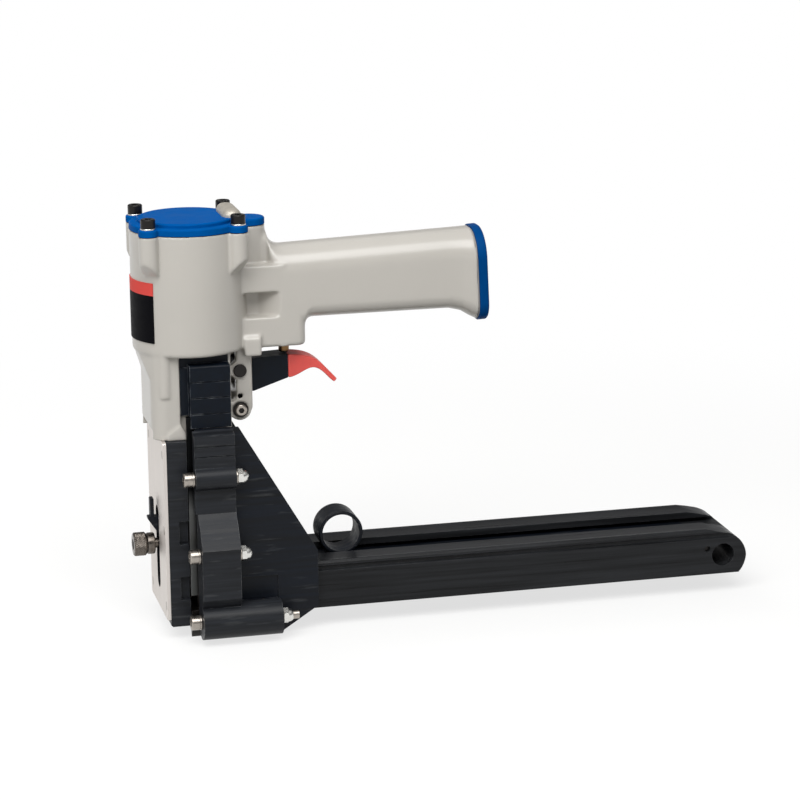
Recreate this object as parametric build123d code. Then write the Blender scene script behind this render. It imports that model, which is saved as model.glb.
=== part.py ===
from build123d import *
from math import atan2, cos, degrees, radians, sin, tan

# Pneumatic carton stapler, built as it comes apart on a bench.
# Millimetres. +X points to the back of the magazine, +Z up, the tool is symmetric about Y = 0.
# The pieces are laid out from the axis of the air cylinder (X = 0) and the underside of the
# side plates (Z = 0). The last step moves the whole tool so that its middle stands over the origin.

# Clearances
RUN = 0.3             # gap between faces that move past each other
FIT = 0.05            # radial gap of a screw, pin or plug in its hole
SEAL_GAP = 0.05       # radial gap left by a sliding seal
SEAT = 0.1            # gap between plates that are screwed face to face
PAST = 1.0            # how far a cut runs past the face it opens

# Heights, from the underside of the side plates up
NOSE_LIFT = 8.0
NOSE_HEIGHT = 111.0
NECK_HEIGHT = 49.2
DRUM_HEIGHT = 70.2
MAGAZINE_LIFT = 12.3
MAGAZINE_HEIGHT = 28.2

# Cylinder head
DRUM_R = 33.0
DRUM_FLOOR = 4.0
DRUM_EDGE = 2.0
LINER_SEAT_R = 27.0
LINER_WALL = 2.5
LINER_SHORT = 10.4    # from the top of the liner to the top of the drum
LINER_SEAL_INSET = 5.0
BOLT_HALF_LENGTH = 25.8
BOLT_HALF_WIDTH = 24.3
BOSS_R = 5.6
BOSS_LENGTH = 15.5
BOSS_FLOOR = 2.0      # metal under a head screw's hole
SCREW_TIP = 1.0       # room past the end of a head screw
LOBE_HALF_WIDTH = 9.5
LOBE_REACH = 45.5
GASKET = 0.5
GASKET_INSET = 0.3
CAP_FLANGE = 4.0
CAP_RISE = 2.3
CAP_CROWN_R = 28.0
CAP_EDGE = 1.2
CAP_RECESS_R = 14.0
CAP_RECESS = 3.3
SPOT_FACE = 0.6
DEFLECTOR_X = 24.8
DEFLECTOR_HALF_LENGTH = 15.0
DEFLECTOR_WIDTH = 11.0
DEFLECTOR_HEIGHT = 6.7
DEFLECTOR_ROUND = 4.0
SEAL_RING = 1.8

# Screws of 5 mm thread, used all over the tool
SCREW_R = 2.5
HEAD_R = 4.25
HEAD_HEIGHT = 5.1
HEAD_EDGE = 0.5
HEX_ACROSS = 4.0
HEX_DEPTH = 2.6
WASHER_R = 4.4
WASHER = 1.4
WASHER_SPLIT = 0.8
WASHER_TURN = 35.0    # degrees that the split of a washer points away from X
NUT_ACROSS = 8.0
NUT_HEIGHT = 2.8      # of the six flats under the dome
NUT_DOME_R = 3.9

# Piston, driver and head valve
PISTON = 9.0
PISTON_REST = 0.5     # from the top of the piston to the top of the liner
PISTON_BOSS_R = 7.6
PISTON_BOSS = 10.0
PISTON_RING = 2.4
DRIVER_PIN_R = 2.0
DRIVER_PIN_DROP = 6.0
BUMPER = 6.0
BUMPER_EDGE = 0.8
BUMPER_HOLE_R = 8.5
BLADE_WIDTH = 34.6
BLADE = 2.2
BLADE_TIP = 0.5       # from the underside to the blade's tip when it is down
SHANK_WIDTH = 14.0
CROSSHEAD_LIFT = 35.0
CROSSHEAD_HEIGHT = 6.0
CROSSHEAD_DEPTH = 9.0
CROSSHEAD_HALF_WIDTH = 28.4
CROSSHEAD_EDGE = 1.5
CROSSHEAD_ROOM = 2.5  # above the crosshead at rest
BLADE_SHOULDER_DROP = 18.0
BLADE_ROOM = 2.0      # gap before and behind the blade in the neck
BLADE_SIDE_ROOM = 1.2
HEAD_VALVE = 8.0
HEAD_VALVE_EDGE = 1.0
VALVE_FLOOR = 2.0
VALVE_SPRING_R = 11.0
SPRING_WALL = 1.4

# Handle
GRIP_SET_BACK = 18.0  # from the drum to the front of the handle
GRIP_LENGTH = 117.5
GRIP_WIDTH = 34.0
GRIP_HEIGHT = 42.2
GRIP_DROP = 12.6      # front of the handle's top below the top of the drum
GRIP_RISE = 4.2       # of its top line from front to back
GRIP_CORNER = 15.0
GRIP_LOW_CORNER = 9.0
GRIP_WALL = 4.0
FLARE_LENGTH = 16.0
FLARE_DROP = 7.4
FLARE_WIDEN = 4.0
FLARE_CURVE = ((0.45, 0.25), (0.75, 0.7))  # shares of the flare's length and drop
END_LEAN = 2.2        # degrees that the end of the handle leans
END_CAP = 5.6
END_WALL = 12.5       # solid end of the handle round the inlet
END_CAP_OVERHANG = 0.8
END_CAP_EDGE = 1.6
END_GASKET_INSET = 0.5
SPIGOT_R = 11.5
SPIGOT = 8.0
INLET_R = 5.72        # tapping radius of a G 1/4 pipe thread
END_SCREW_INSET = 9.5
END_SCREW_DROP = 12.4  # from the top and bottom of the end cap
END_SCREW_R = 2.0
END_SCREW_LENGTH = 10.0
END_SCREW_TIP = 1.0   # room past the end of a screw
END_SCREW_HEAD_R = 3.4
END_SCREW_HEAD = 3.0
END_SCREW_HEX = 3.0
SINK_GAP = 0.2        # round a screw head that is sunk in its hole
WEB_HALF_WIDTH = 16.9
WEB_DROP = 9.2
WEB_HEIGHT = 15.7
ROOT_HALF_WIDTH = 6.5  # of the casting at the bottom of the side pockets
POCKET_RAMP = 11.5    # length of the slope at the back of a side pocket
POCKET_LEDGE = 2.6    # bottom of a side pocket above the underside of the handle
AIR_PORT_R = 5.5
PORT_LENGTH = 8.0
CHAMBER_SET_BACK = 3.0
COVE = 4.8
COVE_STEPS = 4
SADDLE = 9.0
SADDLE_HALF_WIDTH = 8.0
SADDLE_ROOT = 4.0
SADDLE_STEPS = 4

# Trigger and its valve
BLOCK_HALF_WIDTH = 16.9
LUG_HALF_WIDTH = 14.0
BLOCK_LENGTH = 15.0   # of the valve block under the handle
BLOCK_EDGE = 5.0
BLOCK_LOW_EDGE = 2.2
VALVE_BUSH_R = 7.0
VALVE_BUSH_HEIGHT = 20.0
VALVE_PLUG = 2.0
VALVE_VENT_R = 1.6
STEM_ARM = 28.9       # from the trigger's pivot to the valve stem
STEM_R = 3.1
STEM_EDGE = 0.6
STEM_STOP_R = 4.6
STEM_STOP = 2.0
STEM_GUIDE = 10.0
LUG_X = 24.6
LUG_LENGTH = 9.4
LUG_HEAD_SET_BACK = 4.4
LUG_HEAD_LENGTH = 10.0
LUG_HEAD_EDGE = 1.0
LUG_HEAD_HEIGHT = 13.0
LUG_HEAD_DROP = 4.0
LUG_HEAD_PROUD = 5.7
LUG_HEAD_SLOPE = 3.0
CHEEK_GAP = 8.0
TIE = 4.0
TIE_HEIGHT = 15.0
PIVOT_SET_BACK = 2.0
PIVOT_DROP = 13.0
PIVOT_BOSS_R = 5.6
PIVOT_R = 2.5
PIVOT_HEAD_R = 3.9
PIVOT_HEAD = 1.6
STOP_HOLE_DROP = 15.2
STOP_HOLE_R = 1.5
LUG_SCREW_DROP = 23.3
LUG_END_R = 6.6
LUG_FLANGE_R = 4.6
LUG_FLANGE = 2.0
LUG_FLANGE_SEAT = 1.6
LUG_SCREW_HEAD_R = 3.4
LUG_SCREW_HEAD = 2.4
LUG_SCREW_HEX = 3.0
TRIGGER_WIDTH = 14.6
TRIGGER_RISE = 7.1    # top of the lever above its pivot
TRIGGER_SLOPE = 0.03  # fall of the lever's top to the back
LEVER_LENGTH = 29.9
LEVER_DEPTH = 21.8
LEVER_STEP = 1.2
LEVER_EDGE = 1.5
LEVER_BACK_RISE = 7.0
TONGUE_INSET = 2.5
SLEEVE_LENGTH = 29.1
SLEEVE_DROP = 18.3    # of the hooked tip below the top of the lever
# Curve of the finger piece: shares of its length and of its drop
SLEEVE_UNDER = ((0.0, 0.76), (0.31, 0.59), (0.53, 0.49), (0.69, 0.62), (0.86, 0.895), (0.94, 1.0))
SLEEVE_OVER = ((1.0, 0.905), (0.74, 0.46), (0.62, 0.285), (0.45, 0.13), (0.21, 0.033), (0.0, 0.005))
TONGUE_LENGTH = 14.0
TONGUE_TOP = 3.0      # of the tongue's root below the top of the lever
TONGUE_ROOT = 7.5
TONGUE_TIP = 1.5
SLEEVE_EDGE = 0.8
HUB_R = 4.8

# Neck under the drum
NECK_FRONT = -26.5
NECK_BACK = 20.0
NECK_STEP = -10.4
NECK_HALF_WIDTH = 25.0
NECK_REAR_HALF_WIDTH = 21.9
NECK_CORNER = 9.0
NECK_BROW = 5.0
NECK_BROW_HEIGHT = 17.0
NECK_RIB_R = 4.2
NECK_RIB_X = -18.5
NECK_RIB_PROUD = 1.2
NECK_RIB_LENGTH = 24.2
NECK_FOOT = 3.0
NECK_FOOT_PROUD = 0.9
NECK_FOOT_X = 8.0
NECK_FOOT_REACH = 3.5
NECK_NOTCH = 5.0
NECK_NOTCH_DEPTH = 5.0
NECK_NOTCH_INSET = 6.0
NECK_OVERLAP = 2.0    # of the neck into the drum and its parts into each other
COVER_FRONT = -5.5
COVER_REAR = 18.2
COVER_HALF_WIDTH = 30.0
COVER_LIFT = 7.5
COVER_HEIGHT = 36.7
COVER_WALL = 1.2
COVER_FRONT_WALL = 0.8
COVER_EDGE = 2.0
COVER_LIP_INSET = 0.6  # of the lip behind the side of the neck
GROOVE = 0.6
GROOVE_STEP = 9.4

# Nose
PLATE_FRONT = -22.1
PLATE = 2.0
PLATE_HALF_WIDTH = 30.0
PLATE_LIFT = 4.0      # of the plate's bottom above the nose block's
PLATE_CORNER = 1.5
PLATE_SCREW_R = 1.5
PLATE_SCREW_HEAD_R = 2.5
PLATE_SCREW_HEAD = 1.0
PLATE_SCREW_LENGTH = 5.0
PLATE_SCREW_INSET = 5.0
PLATE_SCREW_FIRST = 8.0  # from the ends of the plate
NOSE_BACK = -8.3
NOSE_HALF_WIDTH = 29.5
NOSE_EDGE = 1.0
NOSE_POCKET = 5.5
NOSE_POCKET_DEPTH = 3.0
NOSE_POCKET_HEIGHT = 14.0
NOSE_POCKET_LOW = 16.0
NOSE_POCKET_STEP = 33.5
GUIDE = 1.4
GUIDE_HALF_WIDTH = 20.0
GUIDE_DROP = 9.0
GUIDE_TAB = 34.0
GUIDE_TAB_INSET = 2.0
REAR_GUIDE = 6.6
REAR_GUIDE_EDGE = 0.6
NOSE_SCREW_X = -15.0
NOSE_SCREW_Y = 18.0
NOSE_SCREW_DROP = 15.0
NOSE_SCREW_LENGTH = 30.0
SLOT_HALF_WIDTH = 5.2
SLOT_LOW = 16.0       # of the slot's ends above the nose block's bottom
SLOT_HIGH = 66.0
POCKET_MARGIN = 3.0   # room past the slot's ends for the slider
SLIDER_GAP = 0.2
SLIDER_HALF_WIDTH = 8.7
SLIDER_HEIGHT = 26.0
SLIDER_DEPTH = 6.6
SLIDER_LIFT = 32.0    # of the slider's bottom above the nose block's
SLIDER_EDGE = 1.0
KNOB_DROP = 14.9      # knob axis below the top of the slider
KNOB_R = 7.0
KNOB = 7.6
KNOB_EDGE = 0.8
LOCK_NUT_R = 6.4
LOCK_NUT = 4.7
LOCK_NUT_EDGE = 0.6
LOCK_NUT_GAP = 2.2
KNOB_SHANK_R = 3.0
KNOB_HEX = 6.0
KNOB_HEX_DEPTH = 4.0
FIN_REACH = 8.1
FIN_RISE = 2.0        # top of the fin above the slider
FIN_HEIGHT = 10.5
FIN_EDGE = 1.5
FIN_WIDTH = 5.0
FINGER = 2.3
FINGER_ROUND = 0.7
FINGER_SET_BACK = 1.5
FINGER_HEIGHT = 11.0

# Clincher
CLAW_PIVOT_Y = 9.0
CLAW_PIVOT_LIFT = 5.5
CLAW_PIN_R = 2.5
CLAW_PIN_SEAT = 6.0
CLAW_HUB_R = 5.2
CLAW_OUTER_R = 22.0
CLAW_INNER_R = 17.5
CLAW_ARM = 4.6
CLAW_REACH = 10.7     # length of the hooked part along X
CLAW_TIP_ANGLE = 53.0  # of the tip at rest, from straight down
CLAW_END_ANGLE = 100.0
CLAW_TIP_TAPER = 9.0  # degrees that the tip is cut back on its inside
BAR = 4.2
BAR_WIDTH = 3.0
BAR_OUTER = 29.4
BAR_LIFT = 18.0
BAR_HOOK = 6.0
BAR_HOOK_REACH = 8.7
BAR_HOOK_LIFT = 0.5   # of the hook's underside above the cover's
SIDE_PLATE = 3.4
SIDE_FRONT = -3.4
SIDE_CUT_X = 4.0
SIDE_CUT_Z = 42.0
SIDE_RISE = 7.0       # top of the side plate above the nose block
GUSSET_TOP_X = 22.0
GUSSET_LOW_X = 60.2
GUSSET_LOW_Z = 60.5
GUSSET_BACK = 67.0
GUSSET_BACK_Z = 49.0
GUSSET_BACK_LOW_Z = 15.2
GUSSET_TOE_X = 43.2
SIDE_RECESS = 1.2
SIDE_RECESS_GAP = 2.0
SIDE_RECESS_HEIGHT = 14.0
HOUSING_FRONT = -4.2
HOUSING_REAR = 18.2
HOUSING_STEP = 1.3    # how far the top of the housing stands forward
HOUSING_HALF_WIDTH = 52.0
LEDGE_HALF_WIDTH = 39.5
LEDGE_DROP = 2.0
LEDGE_SLOPE = 2.0
BOLT1_Y = 37.6
BOLT1_DROP = 25.6
BOLT1_BOSS_R = 6.8
BOLT2_Y = 43.5
BOLT2_Z = 54.0
TUBE_Y = 41.6
TUBE_Z = 13.6
TUBE_R = 10.4
TUBE_REAR = 42.5
WAIST_Y = 38.5
WAIST_RISE = 6.0
BULGE_TOP_Y = 43.5
BULGE_TOP_Z = 71.5
BULGE_ROUND = 2.0
BULGE_Z = 59.0
BULGE_UNDER = 3.5
FLAT_Y = 50.4
FLAT_BOTTOM = 29.0
TUBE_NECK = 4.0
TUBE_SINK = 2.0
LINE_FIRST = 13.0
LINE_STEP = 6.0
CAP_NUT_TAIL = 1.2    # of a screw past the flats of its nut, inside the dome
OPEN_NUT_TAIL = 6.5   # of the lowest screw, which comes out of its nut

# Magazine
MAGAZINE_HALF_WIDTH = 29.5
MAGAZINE_FRONT = 4.0
MAGAZINE_REAR = 334.2
CHANNEL_HALF_WIDTH = 18.0
MOUTH_HALF_WIDTH = 11.5
LIP = 3.9
LIP_STEP = 0.4        # of the flat lip below the crest
RAIL_GROOVE = 3.0
RAIL_GROOVE_DEPTH = 1.8
RAIL_GROOVE_DROP = 5.8
RAIL_GROOVE_DRAFT = 0.7
RAIL_CREST = 4.0
RAIL_CREST_ROUND = 1.4
RAIL_CREST_INSET = 0.4
END_SLOPE = 26.0
END_SLOPE_RUN = 14.0
END_SLOPE_DROP = 3.0
END_HEEL = 4.6
END_NOSE = 11.0       # height of the rearmost point above the rail's bottom
HANG_R = 7.0
HANG_INSET = 14.9
HANG_LIFT = 11.9
END_BLOCK = 13.0      # metal of the end block in front of the hanging hole's axis
END_BLOCK_GAP = 0.05
END_BLOCK_OVER = 2.0   # metal over the hanging hole
ROLL_PIN_STEP = 10.1
ROLL_PIN_LIFT = 16.1
ROLL_PIN_R = 1.75
ROLL_PIN_SINK = 2.0
CORE_HALF_WIDTH = 16.0
CORE_FRONT = 1.6
CORE_HEIGHT = 21.3
CORE_WALL = 1.5
RAIL_WALL = 2.5
RAIL_END = 12.0       # solid length of a rail in front of the end block
CORE_SLOT = 3.0
CORE_SLOT_INSET = 8.0
RAIL_SCREW_R = 2.0
RAIL_SCREW_HEAD_R = 3.6
RAIL_SCREW_HEAD = 1.5
RAIL_SCREW_DEPTH = 7.0
RAIL_SCREW_X = (8.0, 30.0)
RAIL_SCREW_LIFT = (12.0, 6.0)

# Pusher
PUSHER_SET_BACK = 1.0
PUSHER_LENGTH = 90.0
PUSHER_PLATE = 2.0
PUSHER_SKIRT = 17.0
RING_SET_BACK = 81.2
RING_R = 13.2
RING_STRIP = 2.0
RING_WIDTH = 19.0
RING_EDGE = 0.6
RING_SINK = 2.8       # of the ring below the top of the rails
POST_LENGTH = 14.0
ROLL_R = 6.0
ROLL_WIDTH = 5.0
ROLL_SET_BACK = 19.0
ROLL_AXLE_R = 1.5
ROLL_AXLE_END = 0.5
ROLL_GAP = 0.2
HANGER = 11.0
HANGER_END = 2.6

# Plain plate on the front of the drum
LABEL_ANGLE = 44.0    # degrees each side of the front
LABEL_LIFT = 8.0
LABEL_HEIGHT = 35.0
LABEL = 0.4

# Levels and places that follow from the sizes above
NOSE_BOTTOM = NOSE_LIFT
NOSE_TOP = NOSE_BOTTOM + NOSE_HEIGHT
DRUM_BOTTOM = NOSE_TOP + NECK_HEIGHT
DRUM_TOP = DRUM_BOTTOM + DRUM_HEIGHT
FLOOR_TOP = DRUM_BOTTOM + DRUM_FLOOR
LINER_TOP = DRUM_TOP - LINER_SHORT
LINER_R = LINER_SEAT_R - LINER_WALL
CAP_BOTTOM = DRUM_TOP + GASKET
EAR_TOP = CAP_BOTTOM + CAP_FLANGE
CAP_TOP = EAR_TOP + CAP_RISE
PISTON_TOP = LINER_TOP - PISTON_REST
PISTON_BOTTOM = PISTON_TOP - PISTON
DRIVER_PIN_Z = PISTON_BOTTOM - DRIVER_PIN_DROP
BUMPER_TOP = FLOOR_TOP + BUMPER
STROKE = PISTON_BOTTOM - BUMPER_TOP - RUN
BLADE_BOTTOM = BLADE_TIP + STROKE
CROSSHEAD_Z = NOSE_TOP + CROSSHEAD_LIFT
BLADE_SHOULDER = CROSSHEAD_Z - BLADE_SHOULDER_DROP
GRIP_START = DRUM_R + GRIP_SET_BACK
GRIP_END = GRIP_START + GRIP_LENGTH
GRIP_TOP_FRONT = DRUM_TOP - GRIP_DROP
GRIP_TOP_REAR = GRIP_TOP_FRONT + GRIP_RISE
GRIP_BOTTOM = GRIP_TOP_FRONT - GRIP_HEIGHT
END_BOTTOM = GRIP_BOTTOM - FLARE_DROP
END_WIDTH = GRIP_WIDTH + FLARE_WIDEN
END_CORNER = GRIP_CORNER + FLARE_WIDEN / 2
END_LOW_CORNER = GRIP_LOW_CORNER + FLARE_WIDEN / 2
WEB_TOP = GRIP_TOP_FRONT - WEB_DROP
WEB_BOTTOM = WEB_TOP - WEB_HEIGHT
BLOCK_REAR = GRIP_START + BLOCK_LENGTH
LUG_REAR = LUG_X + LUG_LENGTH
PIVOT_X = LUG_X + PIVOT_SET_BACK
PIVOT_Z = DRUM_BOTTOM - PIVOT_DROP
STOP_HOLE_Z = PIVOT_Z - STOP_HOLE_DROP
LUG_SCREW_Z = PIVOT_Z - LUG_SCREW_DROP
VALVE_X = PIVOT_X + STEM_ARM
VALVE_TOP = DRUM_BOTTOM + VALVE_BUSH_HEIGHT
TRIGGER_TOP = PIVOT_Z + TRIGGER_RISE
TRIGGER_SPLIT = PIVOT_X + LEVER_LENGTH
GUIDE_FRONT = -BLADE / 2 - RUN - GUIDE
GUIDE_TOP = NOSE_TOP - GUIDE_DROP
COVER_BOTTOM = NOSE_TOP + COVER_LIFT
COVER_TOP = COVER_BOTTOM + COVER_HEIGHT
CLAW_FRONT = NOSE_BACK + RUN + SEAT
CLAW_PIVOT_Z = NOSE_BOTTOM + CLAW_PIVOT_LIFT
CLAW_PIN_FRONT = NOSE_BACK - CLAW_PIN_SEAT
BAR_BOTTOM = NOSE_BOTTOM + BAR_LIFT
BAR_TOP = COVER_BOTTOM + BAR_HOOK_LIFT + BAR_HOOK
SIDE_INNER = NOSE_HALF_WIDTH + SEAT
SIDE_OUTER = SIDE_INNER + SIDE_PLATE
SIDE_TOP = NOSE_TOP + SIDE_RISE
HOUSING_INNER = SIDE_OUTER + SEAT
LEDGE_Z = SIDE_TOP - LEDGE_DROP
BOLT1_Z = LEDGE_Z - BOLT1_DROP
MAGAZINE_BOTTOM = MAGAZINE_LIFT
MAGAZINE_TOP = MAGAZINE_BOTTOM + MAGAZINE_HEIGHT
LIP_UNDER = MAGAZINE_TOP - LIP_STEP - LIP
HANG_X = MAGAZINE_REAR - HANG_INSET
HANG_Z = MAGAZINE_BOTTOM + HANG_LIFT
END_BLOCK_FRONT = HANG_X - END_BLOCK
ROLL_PIN_X = HANG_X - ROLL_PIN_STEP
ROLL_PIN_Z = MAGAZINE_BOTTOM + ROLL_PIN_LIFT
CORE_TOP = MAGAZINE_BOTTOM + CORE_HEIGHT
PUSHER_FRONT = MAGAZINE_FRONT + PUSHER_SET_BACK
PUSHER_TOP = CORE_TOP + RUN + PUSHER_PLATE
RING_X = PUSHER_FRONT + RING_SET_BACK
RING_Z = MAGAZINE_TOP + RING_R - RING_SINK
ROLL_X = PUSHER_FRONT + ROLL_SET_BACK
ROLL_Z = MAGAZINE_BOTTOM + CORE_HEIGHT / 2
PLATE_BOTTOM = NOSE_BOTTOM + PLATE_LIFT
PLATE_SCREW_STEP = (NOSE_TOP - PLATE_BOTTOM - 2 * PLATE_SCREW_FIRST) / 2
SLOT_BOTTOM = NOSE_BOTTOM + SLOT_LOW
SLOT_TOP = NOSE_BOTTOM + SLOT_HIGH
SLIDER_FRONT = PLATE_FRONT + PLATE + SLIDER_GAP
SLIDER_BACK = SLIDER_FRONT + SLIDER_DEPTH
SLIDER_BOTTOM = NOSE_BOTTOM + SLIDER_LIFT
SLIDER_TOP = SLIDER_BOTTOM + SLIDER_HEIGHT
KNOB_Z = SLIDER_TOP - KNOB_DROP
NUT_BACK = PLATE_FRONT - LOCK_NUT_GAP
NUT_FRONT = NUT_BACK - LOCK_NUT
KNOB_FRONT = NUT_FRONT - RUN - KNOB
LABEL_BOTTOM = DRUM_BOTTOM + LABEL_LIFT
MIDDLE_X = (KNOB_FRONT + MAGAZINE_REAR) / 2
SIDES = (-1, 1)
HEAD_BOLTS = [(x * BOLT_HALF_LENGTH, y * BOLT_HALF_WIDTH) for x in SIDES for y in SIDES]
PLATE_SCREWS = [(side * (PLATE_HALF_WIDTH - PLATE_SCREW_INSET),
                 PLATE_BOTTOM + PLATE_SCREW_FIRST + step * PLATE_SCREW_STEP)
                for side in SIDES for step in range(3)]
HOUSING_BOLTS = ((BOLT1_Y, BOLT1_Z, HOUSING_FRONT - HOUSING_STEP, HOUSING_REAR),
                 (BOLT2_Y, BOLT2_Z, HOUSING_FRONT, HOUSING_REAR),
                 (TUBE_Y, TUBE_Z, HOUSING_FRONT, TUBE_REAR))
BOLT_TAILS = (CAP_NUT_TAIL, CAP_NUT_TAIL, OPEN_NUT_TAIL)
RAIL_SCREWS = [(MAGAZINE_FRONT + x, MAGAZINE_BOTTOM + z) for x, z in zip(RAIL_SCREW_X, RAIL_SCREW_LIFT)]
END_MIDDLE_Z = (END_BOTTOM + GRIP_TOP_REAR) / 2
END_HALF_HEIGHT = (GRIP_TOP_REAR - END_BOTTOM) / 2
END_PLANE = Plane(origin=(GRIP_END, 0, END_MIDDLE_Z), x_dir=(0, 1, 0),
                  z_dir=(cos(radians(END_LEAN)), 0, sin(radians(END_LEAN))))
END_SCREWS = [(y * (END_WIDTH / 2 - END_SCREW_INSET), z * (END_HALF_HEIGHT - END_SCREW_DROP))
              for y in SIDES for z in SIDES]


def span_box(x, y, z):
    """Box between pairs of X, Y and Z."""
    size = (x[1] - x[0], y[1] - y[0], z[1] - z[0])
    middle = ((x[0] + x[1]) / 2, (y[0] + y[1]) / 2, (z[0] + z[1]) / 2)
    return Pos(*middle) * Box(*size)


def middle_box(x, half_width, z):
    """Box across the middle of the tool."""
    return span_box(x, (-half_width, half_width), z)


def rod(r, length):
    """Round bar from the origin along +Z."""
    return Cylinder(r, length, align=(Align.CENTER, Align.CENTER, Align.MIN))


def pillar(x, y, r, z):
    """Upright cylinder between two levels."""
    return Pos(x, y, z[0]) * rod(r, z[1] - z[0])


def cross_bar(x, z, r, y):
    """Cylinder along Y."""
    return Pos(x, y[0], z) * Rot(-90, 0, 0) * rod(r, y[1] - y[0])


def long_bar(y, z, r, x):
    """Cylinder along X."""
    return Pos(x[0], y, z) * Rot(0, 90, 0) * rod(r, x[1] - x[0])


def past(span, before=PAST, after=PAST):
    """Span made longer at both ends, so that a cut runs past its faces."""
    return (span[0] - before, span[1] + after)


def across(half_width):
    """Span from one side of the tool to the other."""
    return (-half_width, half_width)


def side_prism(points, y):
    """Outline in X and Z, extruded between two values of Y."""
    face = make_face(Polyline(*points, close=True))
    return Pos(0, y[1], 0) * extrude(Plane.XZ * face, y[1] - y[0])


def front_prism(points, x):
    """Outline in Y and Z, extruded between two values of X."""
    face = make_face(Polyline(*points, close=True))
    return Pos(x[0], 0, 0) * extrude(Plane.YZ * face, x[1] - x[0])


def other_side(shape):
    """The same piece on the other side of the tool."""
    return mirror(shape, about=Plane.XZ)


def both_sides(shape):
    """A piece together with its mirror image."""
    return shape + other_side(shape)


def group(solids):
    """Separate solids kept in one node."""
    return Compound(children=[item for solid in solids for item in solid.solids()])


def tube_z(outer, inner, z):
    """Upright tube on the axis of the cylinder."""
    return pillar(0, 0, outer, z) - pillar(0, 0, inner, z)


def hexagon_z(across_flats, z):
    """Upright hexagonal bar on the Z axis."""
    face = RegularPolygon(across_flats / 2, 6, major_radius=False)
    return Pos(0, 0, z[0]) * extrude(face, z[1] - z[0])


def cut_all(shape, tools):
    """Takes each tool away from the shape."""
    for tool in tools:
        shape -= tool
    return shape


def join_all(shapes):
    """Fuses shapes that belong to one piece."""
    whole = shapes[0]
    for shape in shapes[1:]:
        whole += shape
    return whole


def socket_screw(shank, length, head_r=HEAD_R, head=HEAD_HEIGHT, hexagon=HEX_ACROSS):
    """Socket head screw pointing down, with the underside of its head at Z = 0."""
    body = pillar(0, 0, head_r, (0, head))
    body = chamfer(body.edges().group_by(Axis.Z)[-1], HEAD_EDGE)
    body -= hexagon_z(hexagon, (head - min(HEX_DEPTH, head / 2), head))
    return body + pillar(0, 0, shank, (-length, 0))


# Cast body

def head_outline(inset=0.0):
    """Plan of the drum's top with its screw ears and rear lobe."""
    plan = Circle(DRUM_R - inset)
    for x, y in HEAD_BOLTS:
        plan += Pos(x, y) * Circle(BOSS_R - inset)
    lobe_x = LOBE_REACH - LOBE_HALF_WIDTH
    plan += Pos(lobe_x / 2, 0) * Rectangle(lobe_x, 2 * (LOBE_HALF_WIDTH - inset))
    return plan + Pos(lobe_x, 0) * Circle(LOBE_HALF_WIDTH - inset)


def head_screw_holes(r, z):
    """The four upright holes of the head screws."""
    return [pillar(x, y, r, z) for x, y in HEAD_BOLTS]


def rounded_section(width, height, corner, low_corner):
    """Upright section with its own corners at the top and at the bottom."""
    shape = Rectangle(width, height)
    shape = fillet(shape.vertices().group_by(Axis.Y)[-1], corner)
    return fillet(shape.vertices().group_by(Axis.Y)[0], low_corner)


def grip_section(x, heights, width, corners, lean):
    """Section of the handle, from bottom to top, on a plane that may lean."""
    bottom, top = heights
    normal = (cos(radians(lean)), 0, sin(radians(lean)))
    plane = Plane(origin=(x, 0, (bottom + top) / 2), x_dir=(0, 1, 0), z_dir=normal)
    return plane * rounded_section(width, top - bottom, *corners)


def grip_top(x):
    """Height of the handle's top line at a place along it."""
    return GRIP_TOP_FRONT + GRIP_RISE * (x - GRIP_START) / GRIP_LENGTH


def grip_outside():
    """Handle from its root to its flared end."""
    flare_start = GRIP_END - FLARE_LENGTH
    rows = [(GRIP_START, 0.0), (flare_start, 0.0)]
    rows += [(flare_start + run * FLARE_LENGTH, share) for run, share in FLARE_CURVE]
    rows.append((GRIP_END, 1.0))
    sections = []
    for x, share in rows:
        widen = share * FLARE_WIDEN
        corners = (GRIP_CORNER + widen / 2, GRIP_LOW_CORNER + widen / 2)
        heights = (GRIP_BOTTOM - share * FLARE_DROP, grip_top(x))
        sections.append(grip_section(x, heights, GRIP_WIDTH + widen, corners, share * END_LEAN))
    return loft(sections, ruled=True)


def grip_chamber():
    """Air chamber inside the handle, with a round way out at its back end."""
    rows = ((GRIP_START + CHAMBER_SET_BACK, 0.0), (GRIP_END - END_WALL, END_LEAN))
    width = GRIP_WIDTH - 2 * GRIP_WALL
    corners = (GRIP_CORNER - GRIP_WALL, GRIP_LOW_CORNER - GRIP_WALL)
    room = loft([grip_section(x, (GRIP_BOTTOM + GRIP_WALL, grip_top(x) - GRIP_WALL), width, corners, lean)
                 for x, lean in rows], ruled=True)
    return room + on_end(pillar(0, 0, SPIGOT_R + END_GASKET_INSET, (-2 * END_WALL, PAST)))


def boss_under_cut(x, y):
    """Slope that ends a screw boss where it runs into the drum."""
    reach = 2 * BOSS_R
    far = BOSS_R + reach
    wedge = side_prism([(-reach, -reach), (BOSS_R, BOSS_R), (far, BOSS_R), (far, -2 * reach),
                        (-reach, -2 * reach)], across(reach))
    return Pos(x, y, DRUM_TOP - BOSS_LENGTH - BOSS_R) * Rot(0, 0, degrees(atan2(y, x))) * wedge


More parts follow.
